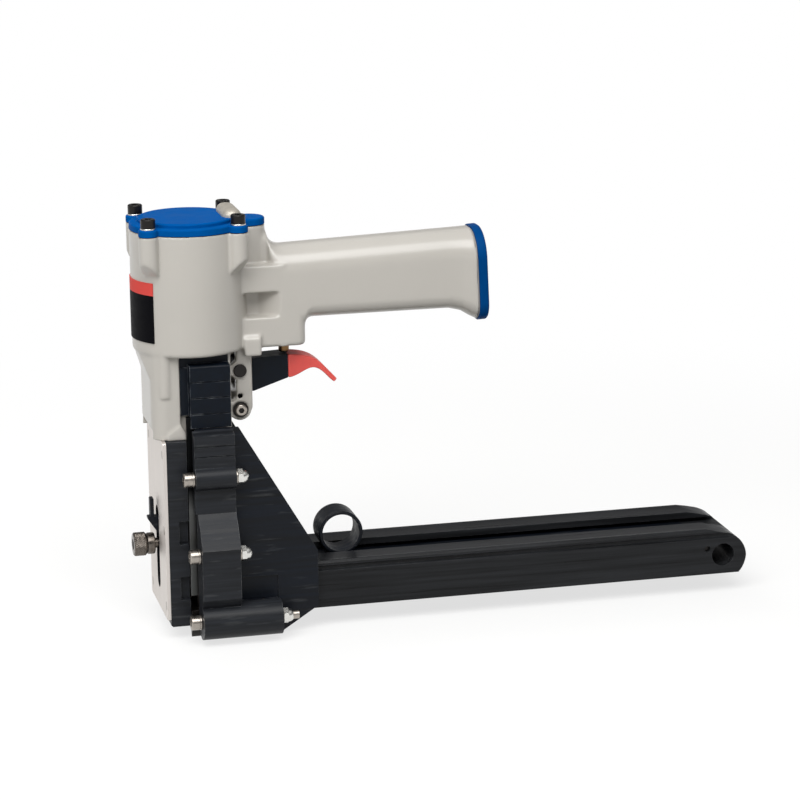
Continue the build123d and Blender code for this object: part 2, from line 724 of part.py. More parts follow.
def drum_outside():
    """Drum with its four screw bosses and the column under the cap's lobe."""
    drum = pillar(0, 0, DRUM_R, (DRUM_BOTTOM, DRUM_TOP))
    drum = fillet(drum.edges().group_by(Axis.Z)[0], DRUM_EDGE)
    for x, y in HEAD_BOLTS:
        boss = pillar(x, y, BOSS_R, (DRUM_TOP - BOSS_LENGTH - 2 * BOSS_R, DRUM_TOP))
        drum += boss - boss_under_cut(x, y)
    lobe_x = LOBE_REACH - LOBE_HALF_WIDTH
    column_z = (WEB_TOP - NECK_OVERLAP, DRUM_TOP)
    column = pillar(lobe_x, 0, LOBE_HALF_WIDTH, column_z)
    return join_all([drum, column, middle_box((LOBE_HALF_WIDTH, lobe_x), LOBE_HALF_WIDTH, column_z)])


def valve_block():
    """Block for the trigger's valve, flush with the side of the handle."""
    front = LOBE_HALF_WIDTH
    ledge = GRIP_BOTTOM + POCKET_LEDGE
    top = GRIP_BOTTOM + GRIP_LOW_CORNER
    block = side_prism([(front, DRUM_BOTTOM), (BLOCK_REAR, DRUM_BOTTOM), (BLOCK_REAR, top), (GRIP_START, top),
                        (GRIP_START, ledge), (front, ledge)], across(BLOCK_HALF_WIDTH))
    block = fillet(block.edges().filter_by(Axis.Z).group_by(Axis.X)[-1], BLOCK_EDGE)
    return fillet(block.edges().group_by(Axis.Z)[0].group_by(Axis.X)[-1], BLOCK_LOW_EDGE)


def cove():
    """Hollow curve from the back of the valve block to the underside of the handle."""
    turns = [radians(90 * step / COVE_STEPS) for step in range(COVE_STEPS + 1)]
    rows = [(BLOCK_REAR - BLOCK_EDGE, 0.0)]
    rows += [(BLOCK_REAR + COVE * (1 - cos(turn)), sin(turn)) for turn in turns]
    top = GRIP_BOTTOM + GRIP_HEIGHT / 2
    width = GRIP_WIDTH - 2 * FIT
    return loft([grip_section(x, (GRIP_BOTTOM + FIT - (1 - share) * COVE, top), width,
                              (GRIP_LOW_CORNER, GRIP_LOW_CORNER), 0.0) for x, share in rows], ruled=True)


def saddle():
    """Cove that widens from the lobe's column to the top of the handle."""
    front = LOBE_REACH - SADDLE_ROOT
    rear = LOBE_REACH + SADDLE
    turns = [radians(90 * step / SADDLE_STEPS) for step in range(SADDLE_STEPS + 1)]
    rows = [(front, 1.0)] + [(rear - SADDLE * cos(turn), 1 - sin(turn)) for turn in turns]
    sections = []
    for x, share in rows:
        half = GRIP_WIDTH / 2 - FIT - share * (GRIP_WIDTH / 2 - SADDLE_HALF_WIDTH)
        slim = 2 * half / GRIP_WIDTH
        heights = (GRIP_BOTTOM, grip_top(rear) - FIT + share * SADDLE)
        sections.append(grip_section(x, heights, 2 * half, (slim * GRIP_CORNER, slim * GRIP_LOW_CORNER), 0.0))
    over = middle_box((front, rear), GRIP_WIDTH, ((WEB_BOTTOM + WEB_TOP) / 2, DRUM_TOP))
    return loft(sections, ruled=True) & over


def handle_root():
    """Webs between the drum and the handle with a pocket on each side, the valve block, cove and saddle."""
    front = LOBE_HALF_WIDTH
    rear = GRIP_START + CHAMBER_SET_BACK
    web = middle_box((front, rear), WEB_HALF_WIDTH, (WEB_BOTTOM, WEB_TOP))
    ramp_x = GRIP_START - POCKET_RAMP
    half = [(front, ROOT_HALF_WIDTH), (ramp_x, ROOT_HALF_WIDTH), (GRIP_START, WEB_HALF_WIDTH),
            (rear, WEB_HALF_WIDTH)]
    plan = make_face(Polyline(*half, *[(x, -y) for x, y in reversed(half)], close=True))
    core = Pos(0, 0, DRUM_BOTTOM + FIT) * extrude(plan, WEB_TOP - DRUM_BOTTOM - 2 * FIT)
    return join_all([web, core, valve_block(), cove(), saddle()])


def trigger_lug():
    """The two cheeks that carry the trigger's pivot pin."""
    cheek_y = (CHEEK_GAP, LUG_HALF_WIDTH)
    cheek = span_box((LUG_X, LUG_REAR), cheek_y, (LUG_SCREW_Z, DRUM_BOTTOM + NECK_OVERLAP))
    cheek += cross_bar(PIVOT_X, LUG_SCREW_Z, LUG_END_R, cheek_y)
    cheek += cross_bar(PIVOT_X, PIVOT_Z, PIVOT_BOSS_R, cheek_y)
    head_x = LUG_X + LUG_HEAD_SET_BACK
    head_z = DRUM_BOTTOM - LUG_HEAD_DROP
    head_top = head_z + LUG_HEAD_HEIGHT
    head_y = LUG_HALF_WIDTH + LUG_HEAD_PROUD
    head = front_prism([(CHEEK_GAP, head_z), (head_y, head_z), (head_y, head_top - LUG_HEAD_SLOPE),
                        (head_y - LUG_HEAD_SLOPE, head_top), (CHEEK_GAP, head_top)],
                       (head_x, head_x + LUG_HEAD_LENGTH))
    head = fillet(head.edges().filter_by(Axis.Y), LUG_HEAD_EDGE)
    tie_z = LUG_SCREW_Z - LUG_END_R / 2
    tie = middle_box((LUG_X, LUG_X + TIE), CHEEK_GAP + PAST, (tie_z, tie_z + TIE_HEIGHT))
    return both_sides(cheek + head) + tie


def neck():
    """Neck that joins the drum to the nose."""
    top = DRUM_BOTTOM + NECK_OVERLAP
    length = NECK_STEP - NECK_FRONT
    plan = Pos(NECK_FRONT + length / 2 + NECK_CORNER, 0) * RectangleRounded(
        length + 2 * NECK_CORNER, 2 * NECK_HALF_WIDTH, NECK_CORNER)
    front = Pos(0, 0, NOSE_TOP) * extrude(plan, top - NOSE_TOP)
    front &= middle_box((NECK_FRONT - PAST, NECK_STEP), DRUM_R, (NOSE_TOP, top))
    back = middle_box((NECK_STEP - PAST, NECK_BACK), NECK_REAR_HALF_WIDTH, (NOSE_TOP, top))
    brow_front = NECK_FRONT - NECK_BROW
    brow_root = NECK_FRONT + PAST
    brow = side_prism([(brow_root, DRUM_BOTTOM - NECK_BROW_HEIGHT),
                       (brow_front + NECK_BROW / 5, DRUM_BOTTOM - NECK_BROW / 2),
                       (brow_front, DRUM_BOTTOM + PAST), (brow_root, DRUM_BOTTOM + PAST)], across(DRUM_R))
    brow &= pillar(0, 0, DRUM_R - PAST, (NOSE_TOP, DRUM_TOP))
    rib_y = NECK_HALF_WIDTH + NECK_RIB_PROUD - NECK_RIB_R
    rib = pillar(NECK_RIB_X, rib_y, NECK_RIB_R, (DRUM_BOTTOM - NECK_RIB_LENGTH, top))
    toe = NECK_STEP + NECK_FOOT_REACH
    heel = NECK_FRONT + NECK_FOOT_X
    foot = side_prism([(heel, NOSE_TOP), (toe, NOSE_TOP), (toe, NOSE_TOP + NECK_FOOT),
                       (NECK_STEP, NOSE_TOP + 3 * NECK_FOOT), (heel, NOSE_TOP + NECK_FOOT)],
                      (NECK_REAR_HALF_WIDTH - NECK_OVERLAP, NECK_HALF_WIDTH + NECK_FOOT_PROUD))
    notch = middle_box((NECK_FRONT - PAST, NECK_FRONT + NECK_NOTCH_DEPTH),
                       NECK_HALF_WIDTH - NECK_NOTCH_INSET, (NOSE_TOP - PAST, NOSE_TOP + NECK_NOTCH))
    return join_all([front, back, brow, both_sides(rib), both_sides(foot)]) - notch


def crosshead_room():
    """Space swept by the crosshead across the neck, with its running gap."""
    reach = CROSSHEAD_DEPTH / 2 + 2 * RUN
    low = CROSSHEAD_Z - STROKE - 2 * RUN
    return middle_box(across(reach), 2 * DRUM_R, (low, CROSSHEAD_Z + CROSSHEAD_HEIGHT + CROSSHEAD_ROOM))


def end_screw_hole(y, z):
    """Tapped hole for one screw of the end cap."""
    return on_end(pillar(y, z, END_SCREW_R + FIT, (-END_SCREW_LENGTH - END_SCREW_TIP, PAST)))


def main_housing():
    """Cast body: drum, neck, handle, valve block and trigger lug in one casting."""
    body = join_all([drum_outside(), handle_root(), grip_outside(), trigger_lug(), neck()])
    blade_x = across(BLADE / 2 + BLADE_ROOM)
    lug_y = across(LUG_HALF_WIDTH + PAST)
    port_x = (LINER_SEAT_R - PAST, GRIP_START + PORT_LENGTH)
    nose_screw_z = (NOSE_TOP - PAST, NOSE_TOP - NOSE_SCREW_DROP + NOSE_SCREW_LENGTH + SCREW_TIP)
    tools = [
        pillar(0, 0, LINER_SEAT_R, (FLOOR_TOP, DRUM_TOP + PAST)),
        pillar(0, 0, BUMPER_HOLE_R, (DRUM_BOTTOM - BUMPER_HOLE_R, FLOOR_TOP + PAST)),
        middle_box(blade_x, BLADE_WIDTH / 2 + BLADE_SIDE_ROOM, (NOSE_TOP - PAST, CROSSHEAD_Z)),
        middle_box(blade_x, BUMPER_HOLE_R, (NOSE_TOP, DRUM_BOTTOM + PAST)),
        crosshead_room(),
        grip_chamber(),
        long_bar(0, (WEB_BOTTOM + WEB_TOP) / 2, AIR_PORT_R, port_x),
        pillar(VALVE_X, 0, VALVE_BUSH_R + FIT, past((DRUM_BOTTOM, VALVE_TOP + VALVE_PLUG))),
        cross_bar(PIVOT_X, PIVOT_Z, PIVOT_R + FIT, lug_y),
        cross_bar(PIVOT_X, STOP_HOLE_Z, STOP_HOLE_R, lug_y),
        cross_bar(PIVOT_X, LUG_SCREW_Z, SCREW_R + FIT, lug_y),
        cross_bar(PIVOT_X, LUG_SCREW_Z, LUG_FLANGE_R + FIT, (lug_y[0], LUG_FLANGE_SEAT - LUG_HALF_WIDTH)),
    ]
    tools += head_screw_holes(SCREW_R + FIT, (DRUM_TOP - BOSS_LENGTH + BOSS_FLOOR, DRUM_TOP + PAST))
    tools += [pillar(NOSE_SCREW_X, side * NOSE_SCREW_Y, SCREW_R + FIT, nose_screw_z) for side in SIDES]
    tools += [end_screw_hole(y, z) for y, z in END_SCREWS]
    return cut_all(body, tools)


# Handle end

def on_end(shape):
    """Places a shape, drawn looking along +Z, on the leaning end of the handle."""
    return END_PLANE.location * shape


def end_outline(extra):
    """Outline of the handle's end, grown or drawn in."""
    return rounded_section(END_WIDTH + 2 * extra, 2 * (END_HALF_HEIGHT + extra), END_CORNER + extra,
                           END_LOW_CORNER + extra)


def handle_end_gasket():
    """Flat seal between the handle and its end cap."""
    seal = extrude(end_outline(-END_GASKET_INSET), GASKET)
    seal -= pillar(0, 0, SPIGOT_R + END_GASKET_INSET, past((0, GASKET)))
    holes = [pillar(y, z, END_SCREW_R + FIT, past((0, GASKET))) for y, z in END_SCREWS]
    return on_end(cut_all(seal, holes))


def handle_end_cap():
    """Painted end cap with the tapped air inlet."""
    face = GASKET + END_CAP
    cap = Pos(0, 0, GASKET) * extrude(end_outline(END_CAP_OVERHANG), END_CAP)
    cap = fillet(cap.edges().group_by(Axis.Z)[-1], END_CAP_EDGE)
    cap += pillar(0, 0, SPIGOT_R, (-SPIGOT, GASKET + PAST))
    cap -= pillar(0, 0, INLET_R, past((-SPIGOT, face)))
    for y, z in END_SCREWS:
        cap -= pillar(y, z, END_SCREW_R + FIT, past((0, face)))
        cap -= pillar(y, z, END_SCREW_HEAD_R + SINK_GAP, (face - END_SCREW_HEAD, face + PAST))
    return on_end(cap)


def end_cap_screws():
    """Four socket screws sunk in the end cap."""
    seat = GASKET + END_CAP - END_SCREW_HEAD
    screw = socket_screw(END_SCREW_R, seat + END_SCREW_LENGTH, END_SCREW_HEAD_R, END_SCREW_HEAD,
                         END_SCREW_HEX)
    return group([on_end(Pos(y, z, seat) * screw) for y, z in END_SCREWS])


# Cap on the drum

def head_gasket():
    """Flat seal under the cap."""
    seal = Pos(0, 0, DRUM_TOP) * extrude(head_outline(GASKET_INSET), GASKET)
    hole_z = past((DRUM_TOP, CAP_BOTTOM))
    return cut_all(seal, [pillar(0, 0, LINER_SEAT_R, hole_z)] + head_screw_holes(SCREW_R + FIT, hole_z))


def deflector_plan(extra=0.0):
    """Plan of the exhaust deflector, a bar with round ends across the cap."""
    bar = SlotOverall(2 * (DEFLECTOR_HALF_LENGTH + extra), DEFLECTOR_WIDTH + 2 * extra)
    return Pos(DEFLECTOR_X, 0) * Rot(0, 0, 90) * bar


def head_cap():
    """Painted cap of the cylinder with ears, lobe and raised round crown."""
    cap = Pos(0, 0, CAP_BOTTOM) * extrude(head_outline(), CAP_FLANGE)
    cap = fillet(cap.edges().group_by(Axis.Z)[-1], CAP_EDGE)
    crown = pillar(0, 0, CAP_CROWN_R, (CAP_BOTTOM + CAP_RECESS, CAP_TOP))
    cap += fillet(crown.edges().group_by(Axis.Z)[-1], CAP_EDGE)
    cap -= pillar(0, 0, CAP_RECESS_R, (CAP_BOTTOM - PAST, CAP_BOTTOM + CAP_RECESS))
    cap -= Pos(0, 0, EAR_TOP) * extrude(deflector_plan(SEAT), CAP_RISE + PAST)
    cap = cut_all(cap, head_screw_holes(SCREW_R + FIT, past((CAP_BOTTOM, CAP_TOP))))
    return cut_all(cap, head_screw_holes(WASHER_R + SINK_GAP, (EAR_TOP - SPOT_FACE, CAP_TOP + PAST)))


def head_lock_washers():
    """Split washers under the head screws."""
    seat = (EAR_TOP - SPOT_FACE, EAR_TOP - SPOT_FACE + WASHER)
    split = span_box((0, 2 * WASHER_R), across(WASHER_SPLIT / 2), past(seat))
    ring = tube_z(WASHER_R, SCREW_R + FIT, seat) - Rot(0, 0, WASHER_TURN) * split
    return group([Pos(x, y, 0) * ring for x, y in HEAD_BOLTS])


def head_screws():
    """Four socket screws that hold the cap."""
    seat = EAR_TOP - SPOT_FACE + WASHER
    tip = DRUM_TOP - BOSS_LENGTH + BOSS_FLOOR + SCREW_TIP
    screw = socket_screw(SCREW_R, seat - tip)
    return group([Pos(x, y, seat) * screw for x, y in HEAD_BOLTS])


def exhaust_deflector():
    """Rounded metal deflector over the exhaust, set in the back of the cap."""
    bar = Pos(0, 0, EAR_TOP) * extrude(deflector_plan(), DEFLECTOR_HEIGHT)
    return fillet(bar.edges().group_by(Axis.Z)[-1], DEFLECTOR_ROUND)


def label_plate():
    """Plain plate on the front of the drum."""
    z = (LABEL_BOTTOM, LABEL_BOTTOM + LABEL_HEIGHT)
    far = 2 * DRUM_R
    side = far * tan(radians(LABEL_ANGLE))
    plan = make_face(Polyline((0, 0), (-far, side), (-far, -side), close=True))
    film = tube_z(DRUM_R + SEAT + LABEL, DRUM_R + SEAT, z)
    return film & (Pos(0, 0, z[0]) * extrude(plan, LABEL_HEIGHT))


# Inside the drum

LINER_SEALS = [(z, z + SEAL_RING) for z in (FLOOR_TOP + LINER_SEAL_INSET,
                                            LINER_TOP - LINER_SEAL_INSET - SEAL_RING)]


def cylinder_liner():
    """Sleeve that the piston runs in, with grooves for its two seals."""
    liner = tube_z(LINER_SEAT_R - FIT, LINER_R, (FLOOR_TOP, LINER_TOP))
    groove_r = LINER_SEAT_R - SEAL_RING
    return cut_all(liner, [tube_z(LINER_SEAT_R + PAST, groove_r, past(z, SEAT, SEAT)) for z in LINER_SEALS])


def liner_seals():
    """Rubber rings round the liner."""
    return group([tube_z(LINER_SEAT_R - FIT, LINER_SEAT_R - SEAL_RING + FIT, z) for z in LINER_SEALS])


def bumper():
    """Rubber ring that stops the piston."""
    ring = tube_z(LINER_R - RUN, BUMPER_HOLE_R, (FLOOR_TOP, BUMPER_TOP))
    return chamfer(ring.edges().group_by(Axis.Z)[-1], BUMPER_EDGE)


PISTON_RING_Z = (PISTON_BOTTOM + (PISTON - PISTON_RING) / 2, PISTON_BOTTOM + (PISTON + PISTON_RING) / 2)


def piston():
    """Piston with its boss for the driver and a groove for its ring."""
    body = pillar(0, 0, LINER_R - RUN, (PISTON_BOTTOM, PISTON_TOP))
    boss_bottom = PISTON_BOTTOM - PISTON_BOSS
    body += pillar(0, 0, PISTON_BOSS_R, (boss_bottom, PISTON_BOTTOM))
    body -= tube_z(LINER_R, LINER_R - PISTON_RING, past(PISTON_RING_Z, SEAT, SEAT))
    body -= middle_box(across(BLADE / 2 + FIT), SHANK_WIDTH / 2 + FIT,
                       (boss_bottom - PAST, PISTON_BOTTOM + FIT))
    return body - long_bar(0, DRIVER_PIN_Z, DRIVER_PIN_R + FIT, across(LINER_R))


def piston_ring():
    """Sliding seal of the piston."""
    return tube_z(LINER_R - SEAL_GAP, LINER_R - PISTON_RING + FIT, PISTON_RING_Z)


def driver_pin():
    """Pin that holds the driver in the piston."""
    reach = (PISTON_BOSS_R ** 2 - DRIVER_PIN_R ** 2) ** 0.5 - RUN
    return long_bar(0, DRIVER_PIN_Z, DRIVER_PIN_R, across(reach))


def driver_blade():
    """Flat steel driver, narrow at the piston and as wide as a staple below."""
    shank = SHANK_WIDTH / 2
    wide = BLADE_WIDTH / 2
    slope = BLADE_SHOULDER - (wide - shank) / 2
    half = [(wide, BLADE_BOTTOM), (wide, slope), (shank, BLADE_SHOULDER), (shank, PISTON_BOTTOM)]
    blade = front_prism(half + [(-y, z) for y, z in reversed(half)], across(BLADE / 2))
    return blade - long_bar(0, DRIVER_PIN_Z, DRIVER_PIN_R + FIT, across(BLADE))


def crosshead():
    """Bar across the driver that presses the clincher bars down."""
    z = (CROSSHEAD_Z, CROSSHEAD_Z + CROSSHEAD_HEIGHT)
    bar = middle_box(across(CROSSHEAD_DEPTH / 2), CROSSHEAD_HALF_WIDTH, z)
    bar = fillet(bar.edges().filter_by(Axis.X), CROSSHEAD_EDGE)
    return bar - middle_box(across(BLADE / 2 + FIT), SHANK_WIDTH / 2 + FIT, past(z))


def head_valve():
    """Valve disc that opens and closes the top of the cylinder."""
    z = (LINER_TOP + RUN, LINER_TOP + RUN + HEAD_VALVE)
    disc = pillar(0, 0, LINER_SEAT_R - RUN, z)
    disc = chamfer(disc.edges().group_by(Axis.Z)[0], HEAD_VALVE_EDGE)
    return disc - pillar(0, 0, VALVE_SPRING_R + RUN, (z[0] + VALVE_FLOOR, z[1] + PAST))


def head_valve_spring():
    """Spring over the head valve, drawn as its envelope."""
    z = (LINER_TOP + RUN + VALVE_FLOOR, CAP_BOTTOM + CAP_RECESS)
    return tube_z(VALVE_SPRING_R, VALVE_SPRING_R - SPRING_WALL, z)


# Trigger and its valve

def trigger_top(x):
    """Top line of the trigger's lever, falling slightly to the back."""
    return TRIGGER_TOP - TRIGGER_SLOPE * (x - PIVOT_X)


def tongue(gap):
    """Tapered tongue of the lever inside the finger piece, grown by a gap."""
    top = trigger_top(TRIGGER_SPLIT) - TONGUE_TOP
    tip_x = TRIGGER_SPLIT + TONGUE_LENGTH
    tip_z = top - TONGUE_TIP
    points = [(TRIGGER_SPLIT - PAST, top - TONGUE_ROOT - gap), (tip_x + gap, tip_z - TONGUE_TIP - gap),
              (tip_x + gap, tip_z + gap), (TRIGGER_SPLIT - PAST, top + gap)]
    return side_prism(points, across(TRIGGER_WIDTH / 2 - TONGUE_INSET + gap))


def trigger_lever():
    """Metal lever of the trigger, thick at the pivot and thin under the sleeve."""
    half = TRIGGER_WIDTH / 2
    split = TRIGGER_SPLIT
    low = TRIGGER_TOP - LEVER_DEPTH
    points = [(PIVOT_X, PIVOT_Z - HUB_R), (LUG_REAR + LEVER_STEP, low), (split, low + LEVER_BACK_RISE),
              (split, trigger_top(split)), (PIVOT_X, PIVOT_Z + HUB_R)]
    lever = side_prism(points, across(half))
    lever = fillet(lever.edges().filter_by(Axis.Y).group_by(Axis.Z)[0], LEVER_EDGE)
    hub = cross_bar(PIVOT_X, PIVOT_Z, HUB_R, across(half))
    bore = cross_bar(PIVOT_X, PIVOT_Z, PIVOT_R + FIT, past(across(half)))
    return join_all([lever, hub, tongue(0.0)]) - bore


def sleeve_points(curve):
    """Points of the finger piece's outline in X and Z."""
    top = trigger_top(TRIGGER_SPLIT)
    return [(TRIGGER_SPLIT + run * SLEEVE_LENGTH, top - drop * SLEEVE_DROP) for run, drop in curve]


def trigger_sleeve():
    """Soft red sleeve over the tongue of the trigger, with a hooked tip for the finger."""
    under = Spline(*sleeve_points(SLEEVE_UNDER))
    over = Spline(*sleeve_points(SLEEVE_OVER))
    face = make_face([under, Line(under @ 1, over @ 0), over, Line(over @ 1, under @ 0)])
    half = TRIGGER_WIDTH / 2
    sleeve = Pos(SEAT, half, 0) * extrude(Plane.XZ * face, TRIGGER_WIDTH)
    sleeve = fillet(sleeve.edges().filter_by(Axis.Y).group_by(Axis.X)[-1], SLEEVE_EDGE)
    return sleeve - tongue(FIT)


def trigger_pivot_pin():
    """Pin of the trigger with a flat black head on each side."""
    reach = LUG_HALF_WIDTH + PIVOT_HEAD
    pin = cross_bar(PIVOT_X, PIVOT_Z, PIVOT_R, across(reach))
    return pin + both_sides(cross_bar(PIVOT_X, PIVOT_Z, PIVOT_HEAD_R, (LUG_HALF_WIDTH, reach)))


def lug_screw():
    """Flanged socket screw across the bottom of the trigger lug."""
    seat = LUG_FLANGE_SEAT - LUG_HALF_WIDTH
    length = LUG_HALF_WIDTH - seat
    screw = socket_screw(SCREW_R, LUG_FLANGE, LUG_SCREW_HEAD_R, LUG_SCREW_HEAD, LUG_SCREW_HEX)
    screw = Pos(0, 0, LUG_FLANGE) * screw
    screw += rod(LUG_FLANGE_R, LUG_FLANGE)
    screw += pillar(0, 0, SCREW_R, (SCREW_TIP - length, 0))
    return Pos(PIVOT_X, seat, LUG_SCREW_Z) * Rot(90, 0, 0) * screw


def valve_bush():
    """Bronze guide of the trigger valve, with room for its spring."""
    bush = pillar(VALVE_X, 0, VALVE_BUSH_R, (DRUM_BOTTOM, VALVE_TOP))
    bush -= pillar(VALVE_X, 0, STEM_R + SEAL_GAP, past((DRUM_BOTTOM, VALVE_TOP)))
    return bush - pillar(VALVE_X, 0, STEM_STOP_R + RUN, (DRUM_BOTTOM + STEM_GUIDE, VALVE_TOP + PAST))


def valve_plug():
    """Plug that closes the top of the valve bush and seats its spring."""
    return Pos(VALVE_X, 0, 0) * tube_z(VALVE_BUSH_R, VALVE_VENT_R, (VALVE_TOP, VALVE_TOP + VALVE_PLUG))


STEM_STOP_Z = (DRUM_BOTTOM + STEM_GUIDE + RUN, DRUM_BOTTOM + STEM_GUIDE + RUN + STEM_STOP)


def valve_stem():
    """Bronze stem that the trigger lifts."""
    stem = pillar(VALVE_X, 0, STEM_R, (trigger_top(VALVE_X) + RUN, STEM_STOP_Z[0]))
    stem = chamfer(stem.edges().group_by(Axis.Z)[0], STEM_EDGE)
    return stem + pillar(VALVE_X, 0, STEM_STOP_R, STEM_STOP_Z)


def valve_spring():
    """Spring above the stem, drawn as its envelope."""
    outer = STEM_STOP_R - SINK_GAP
    return Pos(VALVE_X, 0, 0) * tube_z(outer, outer - SPRING_WALL / 2, (STEM_STOP_Z[1], VALVE_TOP))


# Nose

PLATE_X = (PLATE_FRONT, PLATE_FRONT + PLATE)
NOSE_SCREW_SEAT = NOSE_TOP - NOSE_SCREW_DROP


def slot_cut(x):
    """Upright slot with round ends in the front plate."""
    half = SLOT_HALF_WIDTH
    low = SLOT_BOTTOM + half
    top = SLOT_TOP - half
    ends = [long_bar(0, z, half, x) for z in (low, top)]
    return join_all([middle_box(x, half, (low, top))] + ends)


def front_plate():
    """Brushed steel plate on the front of the nose."""
    plate = middle_box(PLATE_X, PLATE_HALF_WIDTH, (PLATE_BOTTOM, NOSE_TOP))
    plate = fillet(plate.edges().filter_by(Axis.X), PLATE_CORNER)
    plate -= slot_cut(past(PLATE_X))
    for y, z in PLATE_SCREWS:
        plate -= long_bar(y, z, PLATE_SCREW_R + FIT, past(PLATE_X))
        plate -= long_bar(y, z, PLATE_SCREW_HEAD_R + SINK_GAP,
                          (PLATE_FRONT - PAST, PLATE_FRONT + PLATE_SCREW_HEAD))
    return plate


def front_plate_screws():
    """Small flat screws that hold the front plate."""
    seat = PLATE_FRONT + PLATE_SCREW_HEAD
    tip = PLATE_X[1] + PLATE_SCREW_LENGTH
    return group([long_bar(y, z, PLATE_SCREW_HEAD_R, (PLATE_FRONT, seat))
                  + long_bar(y, z, PLATE_SCREW_R, (seat, tip)) for y, z in PLATE_SCREWS])


def claw_pin_holes(r, x):
    """Holes for the pivot pins of the two claws."""
    return [long_bar(side * CLAW_PIVOT_Y, CLAW_PIVOT_Z, r, x) for side in SIDES]


def nose_block():
    """Black block behind the front plate that carries the clinch adjuster and the claw pins."""
    front = PLATE_X[1]
    block = middle_box((front, NOSE_BACK), NOSE_HALF_WIDTH, (NOSE_BOTTOM, NOSE_TOP))
    block = chamfer(block.edges().filter_by(Axis.Y).group_by(Axis.Z)[0], NOSE_EDGE)
    tools = [middle_box((front - PAST, SLIDER_BACK + RUN), SLIDER_HALF_WIDTH + RUN,
                        (SLOT_BOTTOM - POCKET_MARGIN, SLOT_TOP + POCKET_MARGIN))]
    for step in range(2):
        low = NOSE_BOTTOM + NOSE_POCKET_LOW + step * NOSE_POCKET_STEP
        pocket = span_box((NOSE_BACK - NOSE_POCKET, NOSE_BACK + PAST),
                          (NOSE_HALF_WIDTH - NOSE_POCKET_DEPTH, NOSE_HALF_WIDTH + PAST),
                          (low, low + NOSE_POCKET_HEIGHT))
        tools.append(both_sides(pocket))
    for side in SIDES:
        y = side * NOSE_SCREW_Y
        tools.append(pillar(NOSE_SCREW_X, y, SCREW_R + FIT, (NOSE_SCREW_SEAT, NOSE_TOP + PAST)))
        tools.append(pillar(NOSE_SCREW_X, y, HEAD_R + SINK_GAP, (NOSE_BOTTOM - PAST, NOSE_SCREW_SEAT)))
    tools += claw_pin_holes(CLAW_PIN_R + FIT, (CLAW_PIN_FRONT, 0))
    tip = front + PLATE_SCREW_LENGTH + SCREW_TIP / 2
    tools += [long_bar(y, z, PLATE_SCREW_R + FIT, (front - PAST, tip)) for y, z in PLATE_SCREWS]
    return cut_all(block, tools)


def nose_screws():
    """Screws that hold the nose block to the neck."""
    screw = Rot(180, 0, 0) * socket_screw(SCREW_R, NOSE_SCREW_LENGTH)
    return group([Pos(NOSE_SCREW_X, side * NOSE_SCREW_Y, NOSE_SCREW_SEAT) * screw for side in SIDES])


def front_guide():
    """Steel plate that guides the driver from the front."""
    plate = middle_box((GUIDE_FRONT, GUIDE_FRONT + GUIDE), GUIDE_HALF_WIDTH, (NOSE_BOTTOM, GUIDE_TOP))
    plate = cut_all(plate, claw_pin_holes(CLAW_PIN_R + FIT, (GUIDE_FRONT - PAST, 0)))
    return plate + middle_box((NOSE_BACK, GUIDE_FRONT + GUIDE / 2), GUIDE_HALF_WIDTH - GUIDE_TAB_INSET,
                              (GUIDE_TOP - GUIDE_TAB, GUIDE_TOP))


def rear_guide():
    """Block behind the driver that ties the two side plates together."""
    front = BLADE / 2 + RUN
    block = middle_box((front, front + REAR_GUIDE), NOSE_HALF_WIDTH, (MAGAZINE_TOP + RUN, GUIDE_TOP))
    return chamfer(block.edges().filter_by(Axis.Y).group_by(Axis.Z)[0].sort_by(Axis.X)[0], REAR_GUIDE_EDGE)


def adjuster_slider():
    """Slider of the clinch depth adjuster, with its finger piece out of the slot above the knob."""
    x = (SLIDER_FRONT, SLIDER_BACK)
    block = middle_box(x, SLIDER_HALF_WIDTH, (SLIDER_BOTTOM, SLIDER_TOP))
    block = fillet(block.edges().filter_by(Axis.X), SLIDER_EDGE)
    half = FIN_WIDTH / 2
    tip = SLIDER_FRONT - FIN_REACH
    top = SLIDER_TOP + FIN_RISE
    foot = top - FIN_HEIGHT
    root = SLIDER_FRONT + PAST
    fin = side_prism([(root, foot), (root, SLIDER_TOP - FIT), (SLIDER_FRONT - SLIDER_GAP, top), (tip, top),
                      (tip, top - FIN_EDGE), (PLATE_FRONT, foot)], across(half))
    finger_x = tip + FINGER_SET_BACK
    finger = middle_box((finger_x, finger_x + FINGER), half, (top - PAST, top + FINGER_HEIGHT))
    finger = fillet(finger.edges().filter_by(Axis.Y).group_by(Axis.Z)[-1], FINGER_ROUND)
    return join_all([block, fin, finger]) - long_bar(0, KNOB_Z, KNOB_SHANK_R + SEAL_GAP, past(x))


def adjusting_screw():
    """Clamp screw of the clinch depth adjuster."""
    head = long_bar(0, KNOB_Z, KNOB_R, (KNOB_FRONT, KNOB_FRONT + KNOB))
    head = chamfer(head.edges().filter_by(GeomType.CIRCLE), KNOB_EDGE)
    socket = RegularPolygon(KNOB_HEX / 2, 6, major_radius=False)
    head -= Pos(KNOB_FRONT, 0, KNOB_Z) * extrude(Plane.YZ * socket, KNOB_HEX_DEPTH)
    return head + long_bar(0, KNOB_Z, KNOB_SHANK_R, (KNOB_FRONT + KNOB, SLIDER_BACK))


def adjusting_nut():
    """Round nut behind the head of the clamp screw."""
    x = (NUT_FRONT, NUT_BACK)
    nut = long_bar(0, KNOB_Z, LOCK_NUT_R, x)
    nut = chamfer(nut.edges().filter_by(GeomType.CIRCLE), LOCK_NUT_EDGE)
    return nut - long_bar(0, KNOB_Z, KNOB_SHANK_R + SEAL_GAP, past(x))


# Clincher, drawn on the side of positive Y

def claw_point(r, angle):
    """Point on a circle about the claw pivot, by degrees from straight down."""
    return (CLAW_PIVOT_Y + r * sin(radians(angle)), CLAW_PIVOT_Z - r * cos(radians(angle)))


